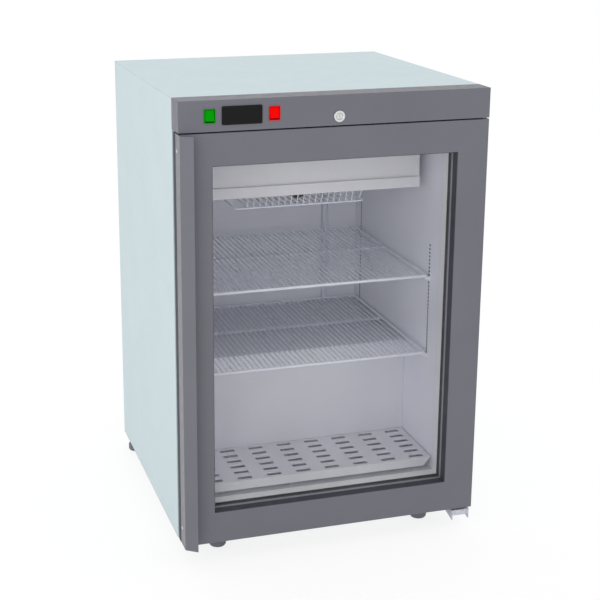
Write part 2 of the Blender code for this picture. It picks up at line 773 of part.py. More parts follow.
def build_evaporator_cover():
    """Folded cover under the ceiling, with a slanted lower strip and a round fan hole."""
    front = FRONT_Y + COVER_FRONT
    upright = front + COVER_SLANT
    crease = COVER_Z + COVER_STRIP
    back = INNER_BACK - FIT
    top = INNER_TOP - FIT
    outer = [(front, COVER_Z), (back, COVER_Z), (back, top), (upright, top), (upright, crease)]
    cover = add_part("evaporator_cover", sheet("YZ", outer, -COVER_HALF, COVER_HALF), "white_sheet")
    hollow = COVER_HALF - COVER_SHEET
    inside = [
        (front + COVER_SHEET, COVER_Z + COVER_SHEET), (back - COVER_SHEET, COVER_Z + COVER_SHEET),
        (back - COVER_SHEET, top + PAST), (upright + COVER_SHEET, top + PAST),
        (upright + COVER_SHEET, crease)]
    cut(cover, sheet("YZ", inside, -hollow, hollow))
    low, high = COVER_Z - PAST, COVER_Z + PAST
    fan_hole = rod((*FAN_CENTRE.xy, low), (*FAN_CENTRE.xy, high), FAN_HOLE, 2 * SEGMENTS)
    cut(cover, group([fan_hole, drain_rod(FIT)]))
    add_part("drain_tube", drain_rod(0.0), "white_plastic", smooth=True)


def serpentine(runs, half, pitch, place):
    """Points of a coil with straight runs and half-round bends."""
    points = []
    for run in range(runs):
        side = 1 if run % 2 == 0 else -1
        points.append(place(-side * half, run * pitch))
        points.append(place(side * half, run * pitch))
        if run < runs - 1:
            for step in range(1, 4):
                turn = -math.pi / 2 + math.pi * step / 4
                across = half + pitch / 2 * math.cos(turn)
                points.append(place(side * across, run * pitch + pitch / 2 * (1 + math.sin(turn))))
    return points


def build_evaporator_coil():
    """Refrigerant coil in the cover, on two straps from the ceiling joined by a bar."""
    height = INNER_TOP - COIL_DROP
    first = FRONT_Y + COIL_FRONT
    path = serpentine(COIL_RUNS, COIL_HALF - COIL_PITCH / 2, COIL_PITCH, lambda x, y: (x, first + y, height))
    add_part("evaporator_coil", tube(path, COIL_RADIUS, 1), "copper", smooth=True)
    front = first - COIL_RADIUS - HANGER_REACH
    back = first + (COIL_RUNS - 1) * COIL_PITCH + COIL_RADIUS + HANGER_REACH
    seat = height - COIL_RADIUS - FIT
    top = INNER_TOP - FIT
    profile = [
        (front, top), (front, seat - HANGER_SHEET), (back, seat - HANGER_SHEET), (back, top),
        (back - HANGER_SHEET, top), (back - HANGER_SHEET, seat), (front + HANGER_SHEET, seat),
        (front + HANGER_SHEET, top)]
    middle = (front + back) / 2
    low = seat - HANGER_SHEET * 1.5
    reach = HANGER_WIDTH / 2
    bar = box((-HANGER_X, middle - reach, low), (HANGER_X, middle + reach, low + HANGER_SHEET))
    hanger = add_part("coil_hanger", bar, "zinc")
    straps = [sheet("YZ", profile, x - reach, x + reach) for x in (-HANGER_X, HANGER_X)]
    weld(hanger, group(straps))


def build_fan():
    """Evaporator fan: motor with arms across the hole, and the bladed wheel below."""
    x, y = FAN_CENTRE.xy
    bar_low = COVER_Z + COVER_SHEET + FIT
    bar_high = bar_low + FAN_BAR_SHEET
    reach = FAN_BAR_WIDTH / 2
    bar = box((x - FAN_BAR_HALF, y - reach, bar_low), (x + FAN_BAR_HALF, y + reach, bar_high))
    motor = add_part("fan_motor", bar, "black_plastic")
    weld(motor, rod((x, y, bar_low + FAN_BAR_SHEET / 2), (x, y, bar_high + MOTOR_HEIGHT), MOTOR_RADIUS))
    shaft_top = bar_high + MOTOR_HEIGHT / 2
    cut(motor, rod((x, y, bar_low - PAST), (x, y, shaft_top + FIT), FAN_SHAFT + FIT, SMALL_SEGMENTS))
    hub_low = COVER_Z - FAN_DROP
    hub_mid = hub_low + FAN_HUB_HEIGHT / 2
    wheel = rod((x, y, hub_low), (x, y, hub_low + FAN_HUB_HEIGHT), FAN_HUB)
    wheel = add_part("fan_blades", wheel, "black_plastic", origin=(x, y, hub_mid))
    petal = [
        (FAN_ROOT, -FAN_ROOT_HALF), (FAN_BELLY, -FAN_BLADE_HALF), (FAN_SHOULDER, -FAN_SHOULDER_HALF),
        (FAN_RADIUS, 0.0), (FAN_SHOULDER, FAN_SHOULDER_HALF), (FAN_BELLY, FAN_BLADE_HALF),
        (FAN_ROOT, FAN_ROOT_HALF)]
    blades = []
    for blade in range(FAN_BLADES):
        mesh = sheet("XY", petal, -FAN_BLADE_SHEET / 2, FAN_BLADE_SHEET / 2)
        turn = Matrix.Rotation(2 * math.pi * blade / FAN_BLADES, 4, "Z") @ Matrix.Rotation(FAN_PITCH, 4, "X")
        mesh.transform(Matrix.Translation((x, y, hub_mid)) @ turn)
        blades.append(mesh)
    weld(wheel, group(blades))
    weld(wheel, rod((x, y, hub_mid), (x, y, shaft_top), FAN_SHAFT, SMALL_SEGMENTS))


def build_guard():
    """White wire basket under the fan: two loops, bent ribs and end struts."""
    x, y = FAN_CENTRE.xy
    top_z = COVER_Z - FIT - GUARD_ROD
    low_z = COVER_Z - GUARD_DROP
    low_x, low_y = GUARD_HALF_X - GUARD_TAPER, GUARD_HALF_Y - GUARD_TAPER

    def loop(half_x, half_y, height):
        corners = rectangle(x - half_x, y - half_y, x + half_x, y + half_y)
        return tube([(u, v, height) for u, v in corners], GUARD_ROD, 1, closed=True)

    loops = group([loop(GUARD_HALF_X, GUARD_HALF_Y, top_z), loop(low_x, low_y, low_z)])
    guard = add_part("fan_guard", loops, "white_wire")
    inward = GUARD_ROD + GUARD_WIRE - GUARD_OVERLAP
    rise = low_z + inward
    wires = []
    for rib_x in even(GUARD_RIBS, x - low_x + GUARD_RIB_MARGIN, x + low_x - GUARD_RIB_MARGIN):
        path = [
            (rib_x, y - GUARD_HALF_Y + inward, top_z), (rib_x, y - low_y, rise),
            (rib_x, y + low_y, rise), (rib_x, y + GUARD_HALF_Y - inward, top_z)]
        wires.append(tube(path, GUARD_WIRE, 0))
    for side in (-1, 1):
        for strut_y in even(GUARD_STRUTS, y - GUARD_STRUT_SPREAD, y + GUARD_STRUT_SPREAD):
            path = [(x + side * (GUARD_HALF_X - inward), strut_y, top_z), (x + side * low_x, strut_y, rise)]
            wires.append(tube(path, GUARD_WIRE, 0))
    weld(guard, group(wires))


def rocker_hole(x):
    """Hole in the fascia for one rocker switch."""
    half_x = ROCKER_WIDTH / 2 - ROCKER_FRAME + FIT
    half_z = ROCKER_HEIGHT / 2 - ROCKER_FRAME + FIT
    return box((x - half_x, DOOR_FACE - PAST, CONTROLS_Z - half_z),
               (x + half_x, DOOR_FACE + PAST, CONTROLS_Z + half_z))


def build_fascia():
    """Control fascia: a folded box, open at the back and behind its bottom flange."""
    outer = box((-HALF, DOOR_FACE, FASCIA_BOTTOM), (HALF, FRONT_Y - FIT, TOP_Z))
    fascia = add_part("control_fascia", outer, "grey_paint")
    side = HALF - FASCIA_SHEET
    cut(fascia, box((-side, DOOR_FACE + FASCIA_SHEET, FASCIA_BOTTOM + FASCIA_SHEET),
                    (side, FRONT_Y + PAST, TOP_Z - FASCIA_SHEET)))
    cut(fascia, box((-side, DOOR_FACE + FASCIA_FLANGE, FASCIA_BOTTOM - PAST),
                    (side, FRONT_Y + PAST, FASCIA_BOTTOM + PAST)))
    width, height = CONTROLLER_WIDTH / 2 + FIT, CONTROLLER_HEIGHT / 2 + FIT
    window = box((DISPLAY_X - width, DOOR_FACE - PAST, CONTROLS_Z - height),
                 (DISPLAY_X + width, DOOR_FACE + PAST, CONTROLS_Z + height))
    lock = rod((LOCK_X, DOOR_FACE - PAST, LOCK_Z), (LOCK_X, DOOR_FACE + PAST, LOCK_Z), LOCK_RADIUS + FIT)
    cut(fascia, group([window, lock, rocker_hole(GREEN_X), rocker_hole(RED_X)]))


def build_display():
    """Controller body through the fascia and its black front."""
    half_x, half_z = CONTROLLER_WIDTH / 2, CONTROLLER_HEIGHT / 2
    body = box((DISPLAY_X - half_x, DOOR_FACE - FIT, CONTROLS_Z - half_z),
               (DISPLAY_X + half_x, DOOR_FACE + CONTROLLER_DEPTH, CONTROLS_Z + half_z))
    add_part("controller_body", body, "black_plastic")
    half_x, half_z = DISPLAY_WIDTH / 2, DISPLAY_HEIGHT / 2
    rear = DOOR_FACE - 2 * FIT
    lens = box((DISPLAY_X - half_x, rear - DISPLAY_DEPTH, CONTROLS_Z - half_z),
               (DISPLAY_X + half_x, rear, CONTROLS_Z + half_z))
    lens = add_part("display_lens", lens, "black_plastic")
    edge = lens.modifiers.new("edge", "BEVEL")
    edge.width = DISPLAY_EDGE
    edge.segments = 2


def build_rockers():
    """Two rocker switches: housings through the fascia and paddles that tilt in them."""
    front = DOOR_FACE - FIT
    wide, tall = ROCKER_WIDTH / 2, ROCKER_HEIGHT / 2

    def block(x, inset, start, end):
        return box((x - wide + inset, start, CONTROLS_Z - tall + inset),
                   (x + wide - inset, end, CONTROLS_Z + tall - inset))

    half_x = wide - ROCKER_FRAME - ROCKER_WALL - ROCKER_PLAY
    half_z = tall - ROCKER_FRAME - ROCKER_WALL - ROCKER_TILT_PLAY
    nose = -ROCKER_PIVOT - ROCKER_BEZEL
    tail = ROCKER_POCKET - ROCKER_PIVOT - 2 * ROCKER_BEZEL
    profile = [
        (nose, -half_z), (nose + ROCKER_DISH, 0.0), (nose, half_z), (0.0, half_z),
        (tail, ROCKER_TAIL), (tail, -ROCKER_TAIL), (0.0, -half_z)]
    for name, x in (("green", GREEN_X), ("red", RED_X)):
        housing = add_part(name + "_housing", block(x, 0.0, front - ROCKER_BEZEL, front), name + "_plastic")
        weld(housing, block(x, ROCKER_FRAME, front - ROCKER_BEZEL / 2, front + ROCKER_DEPTH))
        cut(housing, block(x, ROCKER_FRAME + ROCKER_WALL, front - PAST, front + ROCKER_POCKET))
        mesh = sheet("YZ", profile, -half_x, half_x)
        pivot = Vector((x, front + ROCKER_PIVOT, CONTROLS_Z))
        mesh.transform(Matrix.Translation(pivot) @ Matrix.Rotation(-ROCKER_TILT, 4, "X"))
        add_part(name + "_rocker", mesh, name + "_plastic", origin=pivot)


def build_lock():
    """Cam lock: barrel in the fascia, plug that turns in it, cam that drops into the door."""
    front = DOOR_FACE - FIT
    end = DOOR_FACE + LOCK_LENGTH
    flange = rod((LOCK_X, front - LOCK_FLANGE, LOCK_Z), (LOCK_X, front, LOCK_Z), LOCK_FLANGE_RADIUS)
    barrel = add_part("lock_barrel", flange, "silver", smooth=True)
    weld(barrel, rod((LOCK_X, front - LOCK_FLANGE / 2, LOCK_Z), (LOCK_X, end, LOCK_Z), LOCK_RADIUS))
    cut(barrel, rod((LOCK_X, front - PAST, LOCK_Z), (LOCK_X, end + PAST, LOCK_Z), PLUG_RADIUS + FIT))
    axis = Vector((LOCK_X, end, LOCK_Z))
    nose = front - LOCK_FLANGE
    plug = rod((LOCK_X, nose, LOCK_Z), (LOCK_X, end + FIT, LOCK_Z), PLUG_RADIUS)
    plug = add_part("lock_plug", plug, "silver", origin=axis, smooth=True)
    half_x, half_z = KEY_SLOT_WIDTH / 2, KEY_SLOT_HEIGHT / 2
    cut(plug, box((LOCK_X - half_x, nose - PAST, LOCK_Z - half_z),
                  (LOCK_X + half_x, nose + KEY_SLOT_DEPTH, LOCK_Z + half_z)))
    half = CAM_WIDTH / 2
    rounded = [(LOCK_X + half * math.cos(turn), LOCK_Z + half * math.sin(turn))
               for turn in even(7, math.pi / 2, math.pi * 1.5)]
    outline = [*rounded, (LOCK_X + CAM_LENGTH, LOCK_Z - half), (LOCK_X + CAM_LENGTH, LOCK_Z + half)]
    low = end + 2 * FIT
    add_part("lock_cam", sheet("XZ", outline, low, low + CAM_SHEET), "zinc", origin=axis)


def build_hinges():
    """Hinge brackets with their pins, and the bushes in the door."""
    x, y = HINGE.xy
    plate_top = BASE_Z - FIT
    plate_low = plate_top - BRACKET_PLATE
    right = HALF - BRACKET_INSET
    left = right - BRACKET_WIDTH
    front, back = DOOR_FACE + BRACKET_FRONT, FRONT_Y + BRACKET_BACK
    bottom = add_part("bottom_hinge_bracket", box((left, front, plate_low), (right, back, plate_top)), "zinc")
    gusset = [
        (front, plate_top - FIT), (front, plate_low - GUSSET_HEIGHT),
        (FRONT_Y + GUSSET_TAIL, plate_low), (FRONT_Y + GUSSET_TAIL, plate_top - FIT)]
    edges = (left, right - BRACKET_PLATE - FIT)
    gussets = [sheet("YZ", gusset, edge + FIT, edge + BRACKET_PLATE) for edge in edges]
    weld(bottom, group(gussets))
    lip_in = BRACKET_PLATE / 2
    lip = box(
        (left + lip_in, front + FIT, plate_low - BRACKET_LIP),
        (right - lip_in, front + BRACKET_PLATE, plate_low + lip_in))
    weld(bottom, lip)
    weld(bottom, rod((x, y, plate_low + BRACKET_PLATE / 2), (x, y, DOOR_BOTTOM + PIN_REACH), PIN_RADIUS))

    arm_z = FASCIA_BOTTOM + TOP_ARM_LIFT
    arm_back = FRONT_Y - FIT
    profile = [
        (y - TOP_ARM_WIDTH / 2, arm_z), (arm_back, arm_z), (arm_back, arm_z + TOP_ARM_FLANGE),
        (arm_back - BRACKET_PLATE, arm_z + TOP_ARM_FLANGE), (arm_back - BRACKET_PLATE, arm_z + BRACKET_PLATE),
        (y - TOP_ARM_WIDTH / 2, arm_z + BRACKET_PLATE)]
    arm = sheet("YZ", profile, x - TOP_ARM_WIDTH, x + TOP_ARM_WIDTH / 2)
    top = add_part("top_hinge_bracket", arm, "zinc")
    weld(top, rod((x, y, DOOR_TOP - PIN_REACH), (x, y, arm_z + BRACKET_PLATE / 2), PIN_RADIUS))

    bore = PIN_RADIUS + FIT
    bush_top = DOOR_BOTTOM + BUSH_LENGTH
    low_bush = turned(
        [(bore, bush_top), (BUSH_RADIUS, bush_top), (BUSH_RADIUS, DOOR_BOTTOM - FIT),
         (BUSH_COLLAR, DOOR_BOTTOM - FIT), (BUSH_COLLAR, BASE_Z), (bore, BASE_Z), (bore, bush_top)],
        (x, y, 0.0), SEGMENTS)
    top_bush = turned(
        [(bore, DOOR_TOP), (BUSH_RADIUS, DOOR_TOP), (BUSH_RADIUS, DOOR_TOP - BUSH_LENGTH),
         (bore, DOOR_TOP - BUSH_LENGTH), (bore, DOOR_TOP)], (x, y, 0.0), SEGMENTS)
    add_part("bottom_hinge_bush", low_bush, "black_plastic", origin=HINGE)
    add_part("top_hinge_bush", top_bush, "black_plastic", origin=HINGE)


def frame_section(edge, window, side):
    """Section of a door frame member: deep outer part and a thinner lip over the glass."""
    rebate = window + side * GLASS_LAP
    split = DOOR_FACE + FRAME_LIP
    return [(edge, DOOR_FACE), (window, DOOR_FACE), (window, split), (rebate, split),
            (rebate, DOOR_BACK), (edge, DOOR_BACK)]


def build_door_frame():
    """Stiles and rails of the door, rebated for the glass."""
    left_edge = -HALF + HANDLE_SHEET + FIT
    left = sheet("XY", frame_section(left_edge, -WINDOW_HALF, -1), DOOR_BOTTOM, DOOR_TOP)
    add_part("door_left_stile", left, "grey_paint", origin=HINGE)
    right = sheet("XY", frame_section(HALF, WINDOW_HALF, 1), DOOR_BOTTOM, DOOR_TOP)
    right = add_part("door_right_stile", right, "grey_paint", origin=HINGE)
    x, y = HINGE.xy
    bores = [
        rod((x, y, DOOR_BOTTOM - PAST), (x, y, DOOR_BOTTOM + PIN_REACH + PIN_RADIUS), BUSH_RADIUS + FIT),
        rod((x, y, DOOR_TOP - PIN_REACH - PIN_RADIUS), (x, y, DOOR_TOP + PAST), BUSH_RADIUS + FIT)]
    cut(right, group(bores))
    reach = WINDOW_HALF - FIT
    section = [(v, u) for u, v in frame_section(DOOR_TOP, WINDOW_TOP, 1)]
    top = add_part("door_top_rail", sheet("YZ", section, -reach, reach), "grey_paint", origin=HINGE)
    cam_low = DOOR_FACE + LOCK_LENGTH + 2 * FIT - CAM_PLAY
    cut(top, box((LOCK_X - CAM_SLOT_LEFT, cam_low, DOOR_TOP - CAM_SLOT_DEPTH),
                 (LOCK_X + CAM_SLOT_RIGHT, cam_low + CAM_SHEET + 2 * CAM_PLAY, DOOR_TOP + PAST)))
    section = [(v, u) for u, v in frame_section(DOOR_BOTTOM, WINDOW_BOTTOM, -1)]
    add_part("door_bottom_rail", sheet("YZ", section, -reach, reach), "grey_paint", origin=HINGE)


def window_ring(grow):
    """Window outline grown outwards by a margin."""
    return rectangle(-WINDOW_HALF - grow, WINDOW_BOTTOM - grow, WINDOW_HALF + grow, WINDOW_TOP + grow)


def build_glazing():
    """Double glazing with its spacer, the bead that holds it and the door gasket."""
    edge = GLASS_LAP - GLASS_PLAY
    outer_back = GLASS_FRONT + PANE
    inner_front = outer_back + PANE_GAP
    inner_back = inner_front + PANE
    outer = sheet("XZ", window_ring(edge), GLASS_FRONT, outer_back)
    add_part("outer_glass", outer, "glass", origin=HINGE)
    hollow = [window_ring(edge - SPACER_WIDTH)]
    spacer = sheet("XZ", window_ring(edge), outer_back + FIT, inner_front - FIT, hollow)
    add_part("glass_spacer", spacer, "aluminium", origin=HINGE)
    inner = sheet("XZ", window_ring(edge), inner_front, inner_back)
    add_part("inner_glass", inner, "glass", origin=HINGE)
    bead_out = GLASS_LAP - FIT
    bead_low = inner_back + FIT
    hollow = [window_ring(bead_out - BEAD_WIDTH)]
    bead = sheet("XZ", window_ring(bead_out), bead_low, bead_low + BEAD_DEPTH, hollow)
    add_part("glazing_bead", bead, "black_plastic", origin=HINGE)
    inside = GLASS_LAP + GASKET_STEP
    outside = window_ring(inside + GASKET_WIDTH)
    gasket = sheet("XZ", outside, DOOR_BACK + FIT, FRONT_Y - FIT, [window_ring(inside)])
    add_part("door_gasket", gasket, "dark_rubber", origin=HINGE)


def build_handle():
    """Sheet profile down the left edge of the door, flared into a finger pull."""
    bend = Vector((-HALF, DOOR_FACE - LIP_START))
    tip = Vector((-HALF + LIP_WIDTH, DOOR_FACE - LIP_REACH))
    along = (tip - bend).normalized()
    inward = Vector((-along.y, along.x)) * LIP_SHEET
    inner_x = -HALF + HANDLE_SHEET
    start = bend + inward
    inner_bend = start + along * ((inner_x - start.x) / along.x)
    outline = [
        (-HALF, DOOR_BACK), tuple(bend), tuple(tip), tuple(tip + inward), tuple(inner_bend),
        (inner_x, DOOR_BACK)]
    add_part("door_handle", sheet("XY", outline, DOOR_BOTTOM, DOOR_TOP), "grey_paint", origin=HINGE)


def build_machine_room():
    """Compressor on its plinth, evaporation tray on top of it, and the condenser coil."""
    x, y = COMPRESSOR_X, BACK_Y - COMPRESSOR_BACK
    half_x, half_y = COMPRESSOR_FOOT_X / 2, COMPRESSOR_FOOT_Y / 2
    low = DECK_Z + FIT
    high = low + PLINTH_HEIGHT
    leg = half_x - PLINTH_SHEET
    channel = [
        (x - half_x, low), (x - leg, low), (x - leg, high - PLINTH_SHEET), (x + leg, high - PLINTH_SHEET),
        (x + leg, low), (x + half_x, low), (x + half_x, high), (x - half_x, high)]
    add_part("compressor_plinth", sheet("XZ", channel, y - half_y, y + half_y), "zinc")
    foot_z = high + FIT
    dome_z = foot_z + COMPRESSOR_FOOT_SHEET / 2
    radius, height, seam = COMPRESSOR_RADIUS, COMPRESSOR_HEIGHT, COMPRESSOR_SEAM
    rim = radius + COMPRESSOR_RIM
    profile = [
        (0.0, height), *COMPRESSOR_CROWN, (radius, seam + COMPRESSOR_RIM), (rim, seam + COMPRESSOR_RIM),
        (rim, seam - COMPRESSOR_RIM), (radius, seam - COMPRESSOR_RIM), *COMPRESSOR_BOWL, (0.0, 0.0)]
    dome = add_part("compressor_shell", turned(profile, (x, y, dome_z)), "black_steel", smooth=True)
    weld(dome, box((x - half_x, y - half_y, foot_z),
                   (x + half_x, y + half_y, foot_z + COMPRESSOR_FOOT_SHEET)))
    tray_low = dome_z + height + FIT
    tray_high = tray_low + DRIP_TRAY_HEIGHT
    back = BACK_Y - DRIP_TRAY_REAR
    front = back - DRIP_TRAY_Y
    reach = DRIP_TRAY_X / 2
    tray = box((x - reach, front, tray_low), (x + reach, back, tray_high))
    tray = add_part("evaporation_tray", tray, "black_plastic")
    wall = DRIP_TRAY_WALL
    cut(tray, box((x - reach + wall, front + wall, tray_low + wall),
                  (x + reach - wall, back - wall, tray_high + PAST)))
    centre = -(CONDENSER_LEFT + CONDENSER_RIGHT) / 2
    half = (CONDENSER_LEFT - CONDENSER_RIGHT) / 2 - CONDENSER_PITCH / 2
    plane = REAR_INNER - CONDENSER_RIB - FIT - CONDENSER_RADIUS
    first = BASE_Z + CONDENSER_BOTTOM
    path = serpentine(CONDENSER_RUNS, half, CONDENSER_PITCH, lambda u, v: (centre + u, plane, first + v))
    add_part("condenser_coil", tube(path, CONDENSER_RADIUS, 1), "black_steel", smooth=True)


def feet_places():
    """Name and place of each foot."""
    front_x, rear_x = HALF - FRONT_FOOT_INSET, HALF - REAR_FOOT_INSET
    front_y, rear_y = FRONT_Y + FRONT_FOOT_BACK, BACK_Y - REAR_FOOT_BACK
    return [
        ("foot_front_left", -front_x, front_y), ("foot_front_right", front_x, front_y),
        ("foot_rear_left", -rear_x, rear_y), ("foot_rear_right", rear_x, rear_y)]


def build_feet():
    """Levelling feet: rounded pad, neck up to the base plate and stem through it."""
    shoulder = FOOT_HEIGHT - FIT
    stem_top = FOOT_HEIGHT + FOOT_STEM_LENGTH
    profile = [
        (0.0, stem_top), (FOOT_STEM, stem_top), (FOOT_STEM, shoulder),
        (FOOT_NECK, shoulder), (FOOT_NECK, FOOT_SHOULDER), (FOOT_RADIUS, FOOT_PAD),
        (FOOT_RADIUS, FOOT_EDGE), (FOOT_BASE, 0.0), (0.0, 0.0)]
    for name, x, y in feet_places():
        mesh = turned(profile, (x, y, 0.0), SMALL_SEGMENTS)
        add_part(name, mesh, "dark_rubber", origin=(x, y, 0.0), smooth=True)


def main():
    """Build the whole fridge."""
    start_scene()
    make_finishes()
    build_shell()
    build_rear_grille()
    build_foam()
    build_liner()
    build_breaker()
    for level, hole in (("upper", UPPER_HOLE), ("lower", LOWER_HOLE)):
        build_shelf(level + "_shelf", hole)
        build_support(level + "_left_support", -1, hole)
        build_support(level + "_right_support", 1, hole)
    build_floor_tray()
    build_evaporator_cover()
    build_evaporator_coil()
    build_fan()
    build_guard()
    build_fascia()
    build_display()
    build_rockers()
    build_lock()
    build_hinges()
    build_door_frame()
    build_glazing()
    build_handle()
    build_machine_room()
    build_feet()


main()
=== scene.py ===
"""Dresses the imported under-counter fridge: finer pieces, node finishes, studio light and camera.

Metres, +Z up, front towards -Y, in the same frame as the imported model.
"""

import json
import logging
import math
from collections.abc import Callable, Mapping, Sequence
from dataclasses import dataclass, field
from enum import Enum

import bmesh
import bpy
from mathutils import Matrix, Vector


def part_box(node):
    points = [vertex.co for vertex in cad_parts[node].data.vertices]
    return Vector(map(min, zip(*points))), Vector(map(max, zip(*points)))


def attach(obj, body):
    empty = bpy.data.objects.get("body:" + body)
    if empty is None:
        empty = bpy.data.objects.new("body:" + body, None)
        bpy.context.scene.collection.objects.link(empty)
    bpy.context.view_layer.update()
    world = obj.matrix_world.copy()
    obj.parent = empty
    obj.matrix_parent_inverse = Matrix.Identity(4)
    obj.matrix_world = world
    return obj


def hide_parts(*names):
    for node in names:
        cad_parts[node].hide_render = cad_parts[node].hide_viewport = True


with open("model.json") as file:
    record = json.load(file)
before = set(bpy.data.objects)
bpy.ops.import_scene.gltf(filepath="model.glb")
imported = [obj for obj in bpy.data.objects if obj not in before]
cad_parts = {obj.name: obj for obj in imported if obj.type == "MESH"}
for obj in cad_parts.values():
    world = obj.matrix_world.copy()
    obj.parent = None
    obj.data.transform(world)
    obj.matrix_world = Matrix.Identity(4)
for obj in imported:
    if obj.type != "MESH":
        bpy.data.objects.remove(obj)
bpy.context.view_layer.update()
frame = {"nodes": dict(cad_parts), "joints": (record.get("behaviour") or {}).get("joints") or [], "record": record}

LOG = logging.getLogger("fridge")

Rgb = tuple[float, float, float]
Point = tuple[float, float, float]
Pair = tuple[float, float]
Outline = list[Pair]
Inputs = Mapping[str | int, object]
EdgeTest = Callable[[Vector, Vector], bool]
Socket = bpy.types.NodeSocket
Mesh = bpy.types.Mesh

# Middle part of a noise value, where nearly all of it lies.
NOISE_LOW, NOISE_HIGH = 0.3, 0.7
# Sockets of the Mix node when it mixes colours.
MIX_SHARE, MIX_FIRST, MIX_SECOND, MIX_RESULT = 0, 6, 7, 2
WHITE = (1.0, 1.0, 1.0, 1.0)
# Shading keeps edges sharp above these angles, in degrees.
SHEET_ANGLE = 32.0
MOULDED_ANGLE = 40.0
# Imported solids: points and triangles that belong together, edges to round, edges on a face.
MERGE_DISTANCE = 2e-6
FLAT_ANGLE = 0.5
SHARP_ANGLE = 28.0
ON_FACE = 0.0002
# Faces across a rounded edge, a folded edge, a round corner and a tube's bend.
EDGE_STEPS = 2
FOLD_STEPS = 4
CORNER_STEPS = 5
BEND_STEPS = 6
# Round profile of a bevel, and the least share of a corner's radius that an inset outline keeps.
ROUND_PROFILE = 0.5
CORNER_KEPT = 0.35


class Body(Enum):
    """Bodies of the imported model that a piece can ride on."""

    CABINET = "cabinet"
    DOOR = "door"
    LOCK = "lock"
    GREEN_SWITCH = "green_switch"
    RED_SWITCH = "red_switch"
    FAN = "fan"
    FRONT_LEFT_FOOT = "front_left_foot"
    FRONT_RIGHT_FOOT = "front_right_foot"
    REAR_LEFT_FOOT = "rear_left_foot"
    REAR_RIGHT_FOOT = "rear_right_foot"


class Slot(Enum):
    """Material slots of the record."""

    PALE_PAINT = "pale_paint"
    GREY_FRAME = "grey_frame"
    GREY_PAINT = "grey_paint"
    WHITE_SHEET = "white_sheet"
    WHITE_PLASTIC = "white_plastic"
    WHITE_WIRE = "white_wire"
    ZINC = "zinc"
    COPPER = "copper"
    BLACK_STEEL = "black_steel"
    BLACK_PLASTIC = "black_plastic"
    DARK_RUBBER = "dark_rubber"
    GLASS = "glass"
    ALUMINIUM = "aluminium"
    FOAM = "foam"
    GREEN_PLASTIC = "green_plastic"
    RED_PLASTIC = "red_plastic"
    SILVER = "silver"


class Side(Enum):
    """Faces of a box that can meet in a fold, as axis and end."""

    LEFT = (0, 0)
    RIGHT = (0, 1)
    FRONT = (1, 0)
    BOTTOM = (2, 0)
    TOP = (2, 1)


class Anchor(Enum):
    """Rectangle that a point of a frame's section is measured from."""

    WINDOW = "window"
    EDGE = "edge"


Section = list[tuple[Anchor, float, float]]


def linear_rgba(colour: Rgb) -> tuple[float, float, float, float]:
    """Turns an sRGB colour of 0 to 255 into linear RGBA, with the numbers of the sRGB curve.

    Args:
        colour: red, green and blue from 0 to 255.

    Returns:
        Linear red, green and blue, and an alpha of 1.
    """
    parts = [max(0.0, min(1.0, value / 255.0)) for value in colour]
    lin = [part / 12.92 if part <= 0.04045 else ((part + 0.055) / 1.055) ** 2.4 for part in parts]
    return (lin[0], lin[1], lin[2], 1.0)


def scaled(colour: Rgb, share: float) -> Rgb:
    """Brightens or darkens a colour by a share of itself."""
    return (colour[0] * share, colour[1] * share, colour[2] * share)


def add_node(
        tree: bpy.types.NodeTree, kind: str, inputs: Inputs,
        **settings: object) -> bpy.types.Node:
    """Adds a node to a tree, sets its options and fills its inputs.

    Args:
        tree: tree that takes the node.
        kind: type name of the node.
        inputs: a socket to link, or a value to set, for each input by name or index.
        settings: options of the node.

    Returns:
        The new node.
    """
    made = tree.nodes.new(kind)
    for option, value in settings.items():
        setattr(made, option, value)
    for name, given in inputs.items():
        if isinstance(given, Socket):
            tree.links.new(given, made.inputs[name])
        else:
            made.inputs[name].default_value = given
    return made


